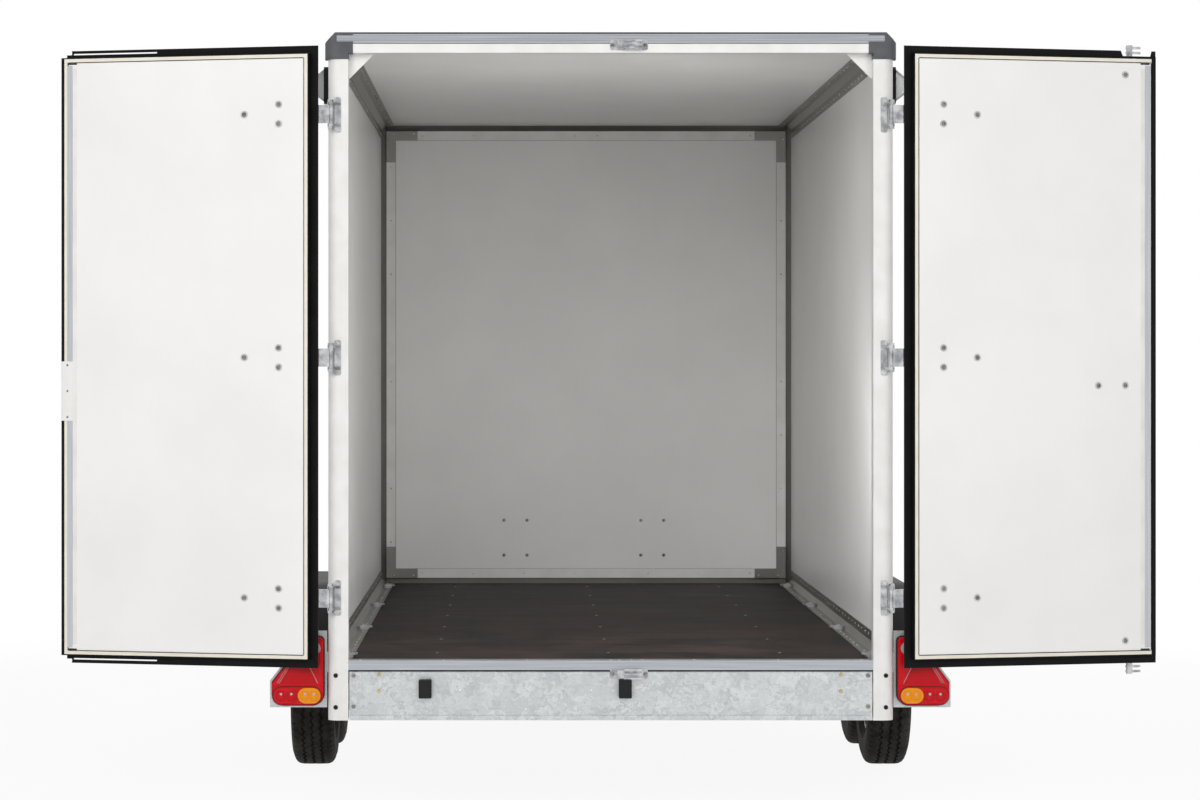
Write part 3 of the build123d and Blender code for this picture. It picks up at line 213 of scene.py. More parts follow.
# %% Finish of the extrusions
def extruded_aluminium(name, along, light, dark):
    finish, tree, shader, place = new_finish(name, Metallic=1.0, Roughness=0.35)
    squeeze = {"X": (0.01, 1.0, 1.0), "Y": (1.0, 0.01, 1.0), "Z": (1.0, 1.0, 0.01)}[along]
    drawn = add(tree, "ShaderNodeMapping", {"Vector": place, "Scale": squeeze})
    lines = add(tree, "ShaderNodeTexNoise", {"Vector": drawn.outputs["Vector"], "Scale": per_size(3), "Detail": 3.0})
    tree.links.new(mottle(tree, lines.outputs["Fac"], 0.3, 0.7, dark, light), shader.inputs["Base Color"])
    vary(tree, shader, "Roughness", lines.outputs["Fac"], 0.3, 0.5)
    emboss(tree, shader, lines.outputs["Fac"], 0.05, 0.4)
    return finish


cross_extrusion = extruded_aluminium("extruded aluminium across", "X", "#C6CACF", "#A9AEB5")
edge_extrusion = extruded_aluminium("extruded aluminium lengthways", "Y", "#C8C8C6", "#AFAFAD")
inner_extrusion = extruded_aluminium("dull extruded aluminium", "Y", "#A8A5A2", "#8E8B88")
upright_extrusion = extruded_aluminium("extruded aluminium upright", "Z", "#CDD0D6", "#B4B8C0")

# %% [markdown]
# ## Hot-dip galvanised steel
#
# Zinc freezes on the steel in flat crystals, the spangle, about 10 to 40 mm across. Each crystal reflects a
# little differently. Voronoi cells give every crystal its own random value, which moves both the tone and the
# roughness; a second, finer set of cells breaks the large ones up as real spangle does.


# %% Finish of the chassis
def galvanised_steel():
    finish, tree, shader, place = new_finish("hot dip galvanised steel", Metallic=0.85, Roughness=0.4)
    wobble = add(tree, "ShaderNodeTexNoise", {"Vector": place, "Scale": per_size(25), "Detail": 2.0})
    bent = add(tree, "ShaderNodeMix", {"Factor": 0.12}, data_type="VECTOR")
    tree.links.new(place, bent.inputs[4])
    tree.links.new(wobble.outputs["Color"], bent.inputs[5])
    slanted = add(
        tree,
        "ShaderNodeMapping",
        {"Vector": bent.outputs[1], "Rotation": (0.5, 0.4, 0.6), "Scale": (1.0, 1.0, 2.2)},
    )
    large = add(tree, "ShaderNodeTexVoronoi", {"Vector": slanted.outputs["Vector"], "Scale": per_size(42)})
    small = add(tree, "ShaderNodeTexVoronoi", {"Vector": slanted.outputs["Vector"], "Scale": per_size(13)})
    tone = add(tree, "ShaderNodeSeparateColor", {"Color": large.outputs["Color"]})
    fleck = add(tree, "ShaderNodeSeparateColor", {"Color": small.outputs["Color"]})
    crystals = add(
        tree,
        "ShaderNodeMath",
        {0: fleck.outputs["Red"], 1: 0.5, 2: tone.outputs["Red"]},
        operation="MULTIPLY_ADD",
    )
    tree.links.new(mottle(tree, crystals.outputs["Value"], 0.1, 1.4, "#BBBFC1", "#DFE2E3"), shader.inputs["Base Color"])
    vary(tree, shader, "Roughness", crystals.outputs["Value"], 0.3, 0.5)
    emboss(tree, shader, large.outputs["Distance"], 0.05, 0.3)
    return finish


galvanised = galvanised_steel()

# %% [markdown]
# ## Plated, painted and moulded finishes
#
# Hinges, keepers and the lock rod are bright zinc plate: a smooth metal with a slight blue cast. Posts, header
# and gussets are powder coated white, which leaves a fine even peel. The caps, mudguards and lamp housings are
# plastic from an etched mould, so their grain is a relief of about 1 mm with a dull sheen.


# %% Finishes with a fine even grain
def grained(name, light, dark, grain_mm, depth_mm, dull, shiny, metal=0.0, index=1.5):
    """A one-colour finish with an even grain, such as powder coat, plate or etched plastic."""
    finish, tree, shader, place = new_finish(name, Metallic=metal, Roughness=dull, IOR=index)
    cloud = add(tree, "ShaderNodeTexNoise", {"Vector": place, "Scale": per_size(40 * grain_mm), "Detail": 4.0})
    tree.links.new(mottle(tree, cloud.outputs["Fac"], 0.35, 0.65, dark, light), shader.inputs["Base Color"])
    vary(tree, shader, "Roughness", cloud.outputs["Fac"], shiny, dull)
    grain = add(tree, "ShaderNodeTexNoise", {"Vector": place, "Scale": per_size(grain_mm), "Detail": 2.0})
    emboss(tree, shader, grain.outputs["Fac"], depth_mm, 0.6)
    return finish


powder_coat = grained("white powder coat", "#F1F0EE", "#E9E8E5", 2.0, 0.05, 0.4, 0.3)
zinc_plate = grained("bright zinc plate", "#D2D3D4", "#94979B", 0.8, 0.02, 0.3, 0.16, metal=1.0)
plain_zinc = grained("zinc on washers", "#D9D7D4", "#C2C0BD", 0.5, 0.02, 0.4, 0.25, metal=1.0)
dark_zinc = grained("zinc on screw heads", "#9C9B9A", "#787776", 0.5, 0.02, 0.34, 0.2, metal=1.0)
cap_plastic = grained("grey moulded polyamide", "#5C5D61", "#4E4F53", 1.2, 0.08, 0.6, 0.45)
black_plastic = grained("black moulded polypropylene", "#1C1C1D", "#131314", 1.2, 0.1, 0.6, 0.42, index=1.35)
cream_edge = grained("cream extruded plastic", "#F1EBDE", "#EAE3D3", 2.0, 0.02, 0.42, 0.34)
pale_strip = grained("pale plastic strip", "#EFEDEA", "#E6E3DF", 2.0, 0.02, 0.42, 0.34)
# A brown for thin bars of painted shade in joints, under the header moulding and round the front wall.
shade_brown = grained("brown painted shade", "#7C7468", "#655E54", 1.5, 0.05, 0.6, 0.45)
black_enamel = grained("black enamel on casting", "#1D1D1F", "#151517", 2.5, 0.08, 0.42, 0.28, index=1.4)
rivet_metal = grained("bright aluminium rivet", "#F2F1EF", "#D9D8D6", 1.0, 0.02, 0.34, 0.2, metal=1.0)
yellow_zinc = grained("yellow passivated zinc", "#D9C486", "#BFA765", 2.0, 0.02, 0.4, 0.28, metal=1.0)
wheel_paint = grained("silver wheel enamel", "#C3C5C8", "#B4B6BA", 1.0, 0.02, 0.34, 0.24, metal=0.6)
epdm = grained("black sponge rubber", "#131313", "#0B0B0B", 1.5, 0.08, 0.6, 0.45, index=1.25)
print("finishes so far:", len(bpy.data.materials))

# %% [markdown]
# ## Lamp lenses
#
# Lenses are moulded acrylic with small prisms on the inner face that spread the light. The prisms are too fine
# to model one by one on a solid lens, so a regular 5 mm grid of relief stands for them.


# %% Finishes of the lenses
def lens(name, colour, deep, clear):
    finish, tree, shader, place = new_finish(name, Roughness=0.16, IOR=1.3, Transmission_Weight=clear)
    prism = add(tree, "ShaderNodeTexVoronoi", {"Vector": place, "Scale": per_size(5), "Randomness": 0.0})
    tree.links.new(mottle(tree, prism.outputs["Distance"], 0.0, 0.8, colour, deep), shader.inputs["Base Color"])
    emboss(tree, shader, prism.outputs["Distance"], 0.6, 0.4)
    return finish


red_lens = lens("red acrylic", "#FF1222", "#A3000C", 0.1)
amber_lens = lens("amber acrylic", "#FFB32A", "#EE8600", 0.1)
clear_lens = lens("clear acrylic", "#F2F3F4", "#D9DBDD", 0.5)

# %% [markdown]
# ## Tyre rubber
#
# Carbon black makes rubber nearly black but never shiny. Road dust in the surface lifts it to a warm dark grey
# in patches.

# %% Finish of the tyres
tyre_rubber = grained("tyre rubber", "#48443F", "#272422", 1.5, 0.12, 0.85, 0.66, index=1.22)

# %% [markdown]
# ## Each solid gets its finish
#
# The solids stay as they are and only change their material.

# %% Finishes of the solids
wheels = [f"{row}_{side}" for row in ("rear", "front") for side in ("left", "right")]
finishes = {
    gel_coat: "roof_panel side_wall_left side_wall_right front_wall door_left_panel door_right_panel",
    floor_film: "floor_panel",
    cross_extrusion: "header_moulding rear_sill",
    edge_extrusion: "edge_profiles",
    inner_extrusion: "wall_rails corner_brackets",
    galvanised: "rear_beam chassis_rails crossmembers drawbar jack_tube jack_leg jack_fork axle_rear axle_front "
    "tail_lamp_brackets lashing_rings",
    powder_coat: "rear_posts rear_header gussets front_trims door_left_strike",
    zinc_plate: "hinge_plates lock_keepers lock_rod door_left_hinges door_right_hinges",
    cap_plastic: "corner_caps",
    black_plastic: "mudguard_left mudguard_right tail_lamp_housings plate_lamps marker_lamps",
    black_enamel: "overrun_coupling",
    cream_edge: "door_left_frame door_right_frame",
    epdm: "door_left_seal door_right_seal jack_wheel",
    red_lens: "tail_lamps",
    amber_lens: "tail_lamp_indicators",
    clear_lens: "marker_lenses tail_lamp_reversing",
    tyre_rubber: " ".join(f"tyre_{wheel}" for wheel in wheels),
    wheel_paint: " ".join(f"rim_{wheel}" for wheel in wheels),
}
for finish, names in finishes.items():
    for name in names.split():
        mesh = frame["nodes"][name].data
        mesh.materials.clear()
        mesh.materials.append(finish)
plain = set(frame["nodes"]) - {name for names in finishes.values() for name in names.split()}
print("solids without a finish:", plain)

# %% [markdown]
# ## Where things sit on an open door
#
# Both doors stand open at a slant, so a place on a leaf is easier to give in the door's own directions: along
# the leaf from its hinge pin, up from the ground, and out of its weather side. The left door is the right one
# mirrored.

# %% Directions of the doors
door_angle = math.radians(13.5)  # each open door stands this far past half a turn
pins = {joint["child"]: Vector(joint["pos_m"]) for joint in frame["joints"] if joint["child"].startswith("door")}


def door_directions(side):
    """The hinge pin, the way along the leaf and the way out of its weather side."""
    hand = 1 if side == "right" else -1
    along = Vector((hand * math.cos(door_angle), math.sin(door_angle), 0))
    outwards = Vector((-hand * math.sin(door_angle), math.cos(door_angle), 0))
    return pins[f"door_{side}"], along, outwards


def on_door(side, along, out, up):
    """A point on a leaf, in the trailer's own frame."""
    pin, lengthways, outwards = door_directions(side)
    place = pin + lengthways * along + outwards * out
    return Vector((place.x, place.y, up))


def door_box(node):
    """Lowest and highest (along, out, up) of a solid on a door."""
    pin, lengthways, outwards = door_directions(node.split("_")[1])
    spots = [vertex.co for vertex in frame["nodes"][node].data.vertices]
    local = [((spot - pin) @ lengthways, (spot - pin) @ outwards, spot.z) for spot in spots]
    return Vector(map(min, zip(*local))), Vector(map(max, zip(*local)))


leaf_low, leaf_high = door_box("door_right_frame")
print("leaf: along", round(leaf_low.x, 3), "to", round(leaf_high.x, 3), "inner face at", round(leaf_low.y, 3))

# %% [markdown]
# ## Fasteners, by Geometry Nodes
#
# A trailer holds together with a few hundred rivets, screws and bolts. Modelled one by one they would be a
# chore, so a Geometry Nodes tree builds one head from its sizes and puts a copy on every point, turned to face
# the way that the point's "facing" says. A head is a short cone, since a dome, a pan and a hexagon differ only
# in how many sides it has and how much it narrows; a socket is cut out of it once, before it is copied. The
# tree ends in real geometry, because instances don't survive the export.


# %% Tree that puts heads on points
def heads_tree():
    tree = bpy.data.node_groups.new("heads on points", "GeometryNodeTree")
    sockets = {
        "Points": "Geometry",
        "Head diameter": "Float",
        "Top share": "Float",
        "Head height": "Float",
        "Sides": "Int",
        "Socket diameter": "Float",
        "Lift": "Float",
        "Finish": "Material",
    }
    for label, kind in sockets.items():
        tree.interface.new_socket(label, in_out="INPUT", socket_type=f"NodeSocket{kind}")
    tree.interface.new_socket("Fasteners", in_out="OUTPUT", socket_type="NodeSocketGeometry")
    given = add(tree, "NodeGroupInput").outputs

    def share(size, factor):
        return add(tree, "ShaderNodeMath", {0: size, 1: factor}, operation="MULTIPLY").outputs[0]

    radius = share(given["Head diameter"], 0.5)
    narrowed = add(tree, "ShaderNodeMath", {0: radius, 1: given["Top share"]}, operation="MULTIPLY")
    head = add(
        tree,
        "GeometryNodeMeshCone",
        {
            "Vertices": given["Sides"],
            "Radius Top": narrowed.outputs[0],
            "Radius Bottom": radius,
            "Depth": given["Head height"],
        },
    )
    lift = add(tree, "ShaderNodeCombineXYZ", {"Z": given["Lift"]})
    head = add(tree, "GeometryNodeTransform", {"Geometry": head.outputs["Mesh"], "Translation": lift.outputs["Vector"]})
    top = add(tree, "ShaderNodeMath", {0: given["Lift"], 1: given["Head height"]}, operation="ADD")
    drive = add(
        tree,
        "GeometryNodeMeshCylinder",
        {"Vertices": 6, "Radius": share(given["Socket diameter"], 0.5), "Depth": given["Head height"]},
    )
    rise = add(tree, "ShaderNodeCombineXYZ", {"Z": top.outputs[0]})
    drive = add(
        tree, "GeometryNodeTransform", {"Geometry": drive.outputs["Mesh"], "Translation": rise.outputs["Vector"]}
    )
    cut = add(
        tree,
        "GeometryNodeMeshBoolean",
        {"Mesh 1": head.outputs["Geometry"], "Mesh 2": drive.outputs["Geometry"]},
        operation="DIFFERENCE",
    )
    has_socket = add(tree, "FunctionNodeCompare", {"A": given["Socket diameter"], "B": 0.0}, operation="GREATER_THAN")
    chosen = add(
        tree,
        "GeometryNodeSwitch",
        {"Switch": has_socket.outputs[0], "False": head.outputs["Geometry"], "True": cut.outputs["Mesh"]},
        input_type="GEOMETRY",
    )
    facing = add(tree, "GeometryNodeInputNamedAttribute", {"Name": "facing"}, data_type="FLOAT_VECTOR")
    turned = add(tree, "FunctionNodeAlignRotationToVector", {"Vector": facing.outputs["Attribute"]}, axis="Z")
    copies = add(
        tree,
        "GeometryNodeInstanceOnPoints",
        {"Points": given["Points"], "Instance": chosen.outputs["Output"], "Rotation": turned.outputs["Rotation"]},
    )
    real = add(tree, "GeometryNodeRealizeInstances", {"Geometry": copies.outputs["Instances"]})
    done = add(tree, "GeometryNodeSetMaterial", {"Geometry": real.outputs["Geometry"], "Material": given["Finish"]})
    add(tree, "NodeGroupOutput", {"Fasteners": done.outputs["Geometry"]})
    return tree


heads = heads_tree()
print("nodes in the tree:", len(heads.nodes))

# %% [markdown]
# A tree runs as a modifier on a seed object. Its inputs are set by the sockets' identifiers before the first
# evaluation, and the evaluated result is kept as a plain mesh, so no modifier is left on the piece.


# %% Run a tree and keep its result
def grow(name, mesh, tree, sizes):
    """The plain piece that a tree makes from a mesh, with the named inputs set."""
    seed = bpy.data.objects.new(f"{name} seed", mesh)
    bpy.context.scene.collection.objects.link(seed)
    modifier = seed.modifiers.new("grow", "NODES")
    modifier.node_group = tree
    for socket in tree.interface.items_tree:
        if socket.in_out == "INPUT" and socket.name in sizes:
            modifier[socket.identifier] = sizes[socket.name]
    ready = seed.evaluated_get(bpy.context.evaluated_depsgraph_get())
    result = bpy.data.meshes.new_from_object(ready)
    bpy.data.objects.remove(seed)
    piece = bpy.data.objects.new(name, result)
    bpy.context.scene.collection.objects.link(piece)
    return piece


def fasten(name, body, spots, finish, head, height, top=0.6, sides=12, socket=0.0, lift=0.0):
    """Heads on (place, facing) pairs, with their sizes in millimetres."""
    points = bpy.data.meshes.new(name)
    points.from_pydata([place for place, facing in spots], [], [])
    facings = points.attributes.new("facing", "FLOAT_VECTOR", "POINT")
    facings.data.foreach_set("vector", [part for place, facing in spots for part in facing])
    sizes = {
        "Head diameter": head * MM,
        "Top share": top,
        "Head height": height * MM,
        "Sides": sides,
        "Socket diameter": socket * MM,
        "Lift": lift * MM,
        "Finish": finish,
    }
    piece = grow(name, points, heads, sizes)
    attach(piece, body)
    print(name, len(spots), "heads,", len(piece.data.polygons), "faces")
    return piece


def bolt_on(name, body, spots, washer, head, height, top=0.6, sides=14, socket=0.0):
    """Zinc heads on wide washers, which are a lighter zinc than the heads."""
    fasten(f"{name}_washers", body, spots, plain_zinc, washer, 2, 0.92, 20)
    fasten(name, body, spots, dark_zinc, head, height, top, sides, socket, 1.8)


# %% [markdown]
# ## Bolts through the doors
#
# Each hinge strap is bolted through the leaf at three places: a pair above each other near the hinge, and one
# farther in. Inside the box they end in button heads on wide washers. The right-hand door has the same heads
# behind the brackets of its lock rod and behind the handle.

# %% Heads on the doors' inner faces
leaf_inner = leaf_low.y
hinge_heights = (0.755, 1.578, 2.410)
strap_pair = 0.033  # half the height between the two outer bolts
near_hinge = leaf_low.x + 0.103
far_bolt = leaf_low.x + 0.226
rod_line = leaf_high.x - 0.110
for side in ("left", "right"):
    inwards = -door_directions(side)[2]
    spots = []
    for height in hinge_heights:
        for along, up in ((near_hinge, height - strap_pair), (near_hinge, height + strap_pair), (far_bolt, height)):
            spots.append((on_door(side, along, leaf_inner, up), inwards))
    if side == "right":
        for along, up in ((rod_line, 2.558), (rod_line, 1.482), (rod_line - 0.1, 1.482), (rod_line, 0.598)):
            spots.append((on_door(side, along, leaf_inner, up), inwards))
    bolt_on(f"door_bolts_{side}", f"door_{side}", spots, 27, 17, 6, 0.6, 16, 8)

# %% [markdown]
# The strike plate on the left-hand door, which the other door's rod handle closes against, has three screws.

# %% Screws of the strike plate
strike_low, strike_high = door_box("door_left_strike")
middle = (strike_low.z + strike_high.z) / 2
screw_line = leaf_high.x - 0.012
screw_step = 0.09
inwards = -door_directions("left")[2]
strike_screws = []
for up in (middle - screw_step, middle, middle + screw_step):
    strike_screws.append((on_door("left", screw_line, strike_low.y, up), inwards))
fasten("strike_screws", "door_left", strike_screws, dark_zinc, 8, 2, 0.6, 12, 3)

# %% [markdown]
# ## Painted shade and strips on the doors
#
# A dark bar fills the narrow gap between each panel and its cream edge profile. It is painted shade, standing in
# for the shade in that gap. Along the free edge an aluminium strip covers the joint, with a pale plastic strip
# beside it. They are thin bars with softened edges, laid on the leaf's inner face in the door's own directions.


# %% Bars on a surface
def keep_shape(shape, name, body, finish):
    """A finished shape becomes a piece that rides a body."""
    mesh = bpy.data.meshes.new(name)
    shape.to_mesh(mesh)
    shape.free()
    mesh.materials.append(finish)
    piece = bpy.data.objects.new(name, mesh)
    bpy.context.scene.collection.objects.link(piece)
    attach(piece, body)
    return piece


def bars(name, body, boxes, finish, soften=0.3):
    """One piece made of bars, each given by its eight corners in the order of a cube's."""
    shape = bmesh.new()
    for corners in boxes:
        made = [shape.verts.new(corner) for corner in corners]
        for side in ((0, 1, 3, 2), (4, 6, 7, 5), (0, 4, 5, 1), (2, 3, 7, 6), (0, 2, 6, 4), (1, 5, 7, 3)):
            shape.faces.new([made[number] for number in side])
    bmesh.ops.recalc_face_normals(shape, faces=shape.faces)
    bmesh.ops.bevel(shape, geom=shape.edges, offset=soften * MM, segments=1, affect="EDGES")
    return keep_shape(shape, name, body, finish)


def bar_on_door(side, alongs, outs, ups):
    return [on_door(side, along, out, up) for along in alongs for out in outs for up in ups]


def level_bar(xs, ys, zs):
    return [Vector((x, y, z)) for x in xs for y in ys for z in zs]


gap_width = 2.4 * MM
proud = 0.8 * MM
strip_width = 19 * MM
strip_inset = {"left": 11 * MM, "right": 18 * MM}  # from the free edge; the right-hand door has a lip there
for side in ("left", "right"):
    panel_low, panel_high = door_box(f"door_{side}_panel")
    outs = (leaf_inner - proud, leaf_inner + 2 * MM)
    near, far = panel_low.x, panel_high.x
    bottom, top = panel_low.z, panel_high.z
    # Dark bars in the gap round the panel are painted shade, standing in for the shade in that gap.
    gap_shade_bars = [
        bar_on_door(side, (near - gap_width, near), outs, (bottom, top)),
        bar_on_door(side, (far, far + gap_width), outs, (bottom, top)),
        bar_on_door(side, (near, far), outs, (bottom - gap_width, bottom)),
        bar_on_door(side, (near, far), outs, (top, top + gap_width)),
    ]
    bars(f"panel_gap_shade_{side}", f"door_{side}", gap_shade_bars, epdm)
    outs = (leaf_inner - 1.5 * MM, leaf_inner)
    edge = leaf_high.x - strip_inset[side]
    strip = [bar_on_door(side, (edge - strip_width, edge), outs, (bottom + 0.01, top - 0.01))]
    bars(f"edge_strip_{side}", f"door_{side}", strip, upright_extrusion)
    cover_far = edge - 35 * MM
    cover = [bar_on_door(side, (cover_far, edge - strip_width - 0.5 * MM), outs, (bottom + 0.02, top - 0.02))]
    bars(f"cover_strip_{side}", f"door_{side}", cover, pale_strip)
    plug = (cover_far, edge - 2 * MM)
    ends = ((top - 6 * MM, top - 1 * MM), (bottom + 1 * MM, bottom + 6 * MM))
    plugs = [bar_on_door(side, plug, outs, end) for end in ends]
    bars(f"strip_plugs_{side}", f"door_{side}", plugs, black_plastic)

# The right-hand door closes last, so its free edge carries the sealing lip, a ribbed flat strip of rubber. Each
# rib and valley runs from one distance to another from the free edge and has its own thickness, in millimetres.
lip_profile = [(0.2, 2.6, 2.4), (2.6, 7.0, 1.2), (7.0, 8.6, 2.4), (8.6, 12.0, 1.2)]
lip = []
for start, end, thick in lip_profile:
    alongs = (leaf_high.x - end * MM, leaf_high.x - start * MM)
    lip.append(bar_on_door("right", alongs, (leaf_inner - thick * MM, leaf_inner), (leaf_low.z, leaf_high.z)))
bars("free_edge_lip", "door_right", lip, epdm, 0.2)

# %% [markdown]
# ## Strip and painted shade of the header
#
# A dark strip runs along the top of the moulding, where it meets the roof. A thin brown bar between the
# moulding and the white header beneath it is painted shade, standing in for the shade in that joint.

# %% Strip and painted shade line on the header
moulding_low, moulding_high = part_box("header_moulding")
span = (moulding_low.x, moulding_high.x)
header_front = moulding_low.y - 0.5 * MM
strip = [level_bar(span, (header_front, moulding_low.y + 12 * MM), (moulding_high.z - 5 * MM, moulding_high.z))]
bars("header_strip", "root", strip, epdm)
# The thin brown bar under the moulding is painted shade in the joint above the header.
shade_line_heights = (moulding_low.z - 1.5 * MM, moulding_low.z + 1.5 * MM)
shade_line = [level_bar(span, (header_front, moulding_low.y + 3 * MM), shade_line_heights)]
bars("header_shade_line", "root", shade_line, shade_brown)

# %% [markdown]
# ## Turned details
#
# Lens bowls, hub caps and the rolled lips of the rims are round, so they are turned: a profile of (along,
# radius) pairs, in millimetres, is swept round an axis that starts at a place and points a way.


# %% Turning a profile
def turned(shape, profile, place, facing, steps=48):
    """Adds a profile swept round an axis to a mesh; radius 0 closes it at a point."""
    tilt = Vector(facing).to_track_quat("Z", "Y")
    rings = []
    for along, radius in profile:
        count = steps if radius > 0 else 1
        angles = [2 * math.pi * number / steps for number in range(count)]
        spots = [Vector((math.cos(angle) * radius, math.sin(angle) * radius, along)) * MM for angle in angles]
        rings.append([shape.verts.new(Vector(place) + tilt @ spot) for spot in spots])
    for near, far in zip(rings, rings[1:]):
        for number in range(steps):
            after = (number + 1) % steps
            corners = [near[number % len(near)], near[after % len(near)], far[after % len(far)], far[number % len(far)]]
            shape.faces.new(list(dict.fromkeys(corners)))


def turned_piece(name, body, profiles, finish, steps=48):
    """One piece of several turned forms, each a (profile, place, facing)."""
    shape = bmesh.new()
    for profile, place, facing in profiles:
        turned(shape, profile, place, facing, steps)
    bmesh.ops.recalc_face_normals(shape, faces=shape.faces)
    piece = keep_shape(shape, name, body, finish)
    piece.data.shade_smooth()
    piece.data.set_sharp_from_angle(angle=math.radians(32))
    return piece


# %% [markdown]
# The rear lamps have shallow bowls in the lens over each bulb. A pale dome on each bowl is a painted highlight,
# standing in for the round glint of a lamp's reflection there.

# %% Bowls of the lamp lenses
bowl = [(-0.5, 21), (1.2, 20), (2.2, 17), (2.8, 13), (2.0, 9), (1.2, 5), (1.0, 0)]
lens_face = face_of("tail_lamps")
amber_face = face_of("tail_lamp_indicators")
for side, hand in (("left", -1), ("right", 1)):
    red = [(bowl, Vector((hand * across, lens_face, 0.417)), back) for across in (1.132, 1.096)]
    turned_piece(f"red_bowls_{side}", "root", red, red_lens, 32)
    amber = [(bowl, Vector((hand * across, amber_face, 0.417)), back) for across in (1.049, 1.019)]
    turned_piece(f"amber_bowls_{side}", "root", amber, amber_lens, 32)

# %% [markdown]
# A dark joint runs round the lower part of the lens. Pale ribbons along two edges of the triangular reflector are
# painted highlights, standing in for the lamps' reflections there. Both are flat ribbons that lie on the lens.


# %% Joint and painted highlights on the reflector
def ribbon(name, paths, finish, thick=0.6):
    """Flat ribbons on faces that look to the rear, each between an outer and an inner path of (x, z)."""
    shape = bmesh.new()
    for outer, inner, closed in paths:
        level = lens_face - thick * MM
        section = ((outer, lens_face), (outer, level), (inner, level), (inner, lens_face))
        rows = [[shape.verts.new((x, y, z)) for x, z in path] for path, y in section]
        count = len(outer) if closed else len(outer) - 1
        for near, far in zip(rows, rows[1:]):
            for number in range(count):
                after = (number + 1) % len(outer)
                shape.faces.new((near[number], near[after], far[after], far[number]))
    bmesh.ops.recalc_face_normals(shape, faces=shape.faces)
    return keep_shape(shape, name, "root", finish)


def oval(across, up, half, radius):
    """Points of a bar with round ends."""
    points = []
    for number in range(40):
        angle = 2 * math.pi * (number + 0.5) / 40
        shift = half if math.cos(angle) > 0 else -half
        points.append((across + shift + math.cos(angle) * radius, up + math.sin(angle) * radius))
    return points


lower_middle, lower_height = 1.0775, 0.417  # centre of the lens's lower part
reflector_sides = [((1.146, 0.460), (1.078, 0.572)), ((1.006, 0.460), (1.062, 0.572))]
reflector_sides.append(((1.139, 0.460), (1.074, 0.567)))
edge_width = 1.8 * MM
joints = []
edges = []
for hand in (-1, 1):
    outer, inner = (oval(hand * lower_middle, lower_height, 0.053, radius) for radius in (0.0325, 0.0305))
    joints.append((outer, inner, True))
    for side in reflector_sides:
        outer = [(hand * across, up) for across, up in side]
        inner = [(hand * (across - edge_width), up) for across, up in side]
        edges.append((outer, inner, False))
ribbon("lens_joints", joints, black_plastic)
# Pale ribbons on the reflector's edges are painted highlights.
ribbon("painted_reflector_highlights", edges, clear_lens, 2.4)

# Pale clear domes on the bowls are painted highlights, standing in for the lamps' round glints.
glint_face = lens_face - 2.2 * MM
glints = []
for hand in (-1, 1):
    for across in (1.132, 1.096, 1.049, 1.019):
        glints.append((Vector((hand * across, glint_face, 0.423)), back))
fasten("lamp_glints", "root", glints, clear_lens, 9, 1.2, 0.5, 14)

# %% [markdown]
# The wheels are pressed steel. Each rim gets the rolled lip of its outer edge, the raised ring that the five
# nuts press on, and a capped hub. The nuts are conical hexagons, put on with the same tree as the bolts.

# %% Lips, hub caps and nuts of the wheels
for wheel in wheels:
    low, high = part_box(f"tyre_{wheel}")
    axle = (low + high) / 2
    hand = 1 if wheel.endswith("right") else -1
    outwards = Vector((hand, 0, 0))
    lip = [(60, 160), (64, 161), (66.5, 164), (67.5, 168), (66, 171), (63.5, 169), (62, 165), (60, 160)]
    dish = [(33, 42), (37, 43), (39, 47), (39, 74), (37, 84), (33.5, 92), (33, 98)]
    weld = [(33, 149), (35.5, 148.5), (37.5, 150.5), (33, 149)]
    cap = [(34, 38), (36, 36.5), (50, 36), (52, 35), (53, 33.5), (55, 33), (59, 31), (61.5, 27), (63, 18), (63.4, 0)]
    forms = [(profile, axle, outwards) for profile in (lip, dish, weld, cap)]
    turned_piece(f"wheel_dress_{wheel}", f"wheel_{wheel}", forms, wheel_paint, 60)
    nuts = []
    for number in range(5):
        angle = 2 * math.pi * number / 5 + 0.3
        offset = Vector((hand * 39 * MM, math.sin(angle) * 58 * MM, math.cos(angle) * 58 * MM))
        nuts.append((axle + offset, outwards))
    bolt_on(f"wheel_nuts_{wheel}", f"wheel_{wheel}", nuts, 25, 21, 14, 0.8, 6)

# %% [markdown]
# ## Rows of rivets and screws
#
# Most fasteners of the body stand in straight rows, so one helper spreads points evenly from one end to the
# other. The rails inside are riveted to the walls, the floor and the roof; the strips on the front wall and the
# corner plates have rivets too. They are small domes of bright aluminium.


# %% Rivets of the load space
def row(start, end, count, facing):
    """Evenly spread (place, facing) pairs from start to end."""
    start, end, facing = Vector(start), Vector(end), Vector(facing)
    return [(start.lerp(end, number / (count - 1)), facing) for number in range(count)]


trim_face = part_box("front_trims")[0].y
plate_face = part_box("corner_brackets")[0].y
rail_rivets = []
for hand in (1, -1):
    for base, up in ((floor_top, 1), (ceiling, -1)):
        wall_spot = (hand * (wall_face - 3 * MM), base + up * 45 * MM)
        flat_spot = (hand * (wall_face - 46 * MM), base + up * 3 * MM)
        for (across, height), facing in ((wall_spot, (-hand, 0, 0)), (flat_spot, (0, 0, up))):
            start = (across, rear_face + 0.10, height)
            end = (across, front_face - 0.08, height)
            rail_rivets += row(start, end, 33, facing)
fasten("rail_rivets", "root", rail_rivets, rivet_metal, 9, 3, 0.45, 10)

trim_rivets = []
for hand in (1, -1):
    upright = hand * (wall_face - 45 * MM)
    trim_rivets += row((upright, trim_face, floor_top + 0.19), (upright, trim_face, ceiling - 0.19), 8, (0, -1, 0))
    for base, up in ((floor_top, 1), (ceiling, -1)):
        level = base + up * 45 * MM
        start, end = (hand * 0.05, trim_face, level), (hand * (wall_face - 0.19), trim_face, level)
        trim_rivets += row(start, end, 4, (0, -1, 0))
        for inwards, upwards in ((0.036, 0.150), (0.036, 0.060), (0.060, 0.036), (0.150, 0.036)):
            spot = Vector((hand * (wall_face - inwards), plate_face, base + up * upwards))
            trim_rivets.append((spot, Vector((0, -1, 0))))
fasten("trim_rivets", "root", trim_rivets, rivet_metal, 8, 2, 0.45, 10)
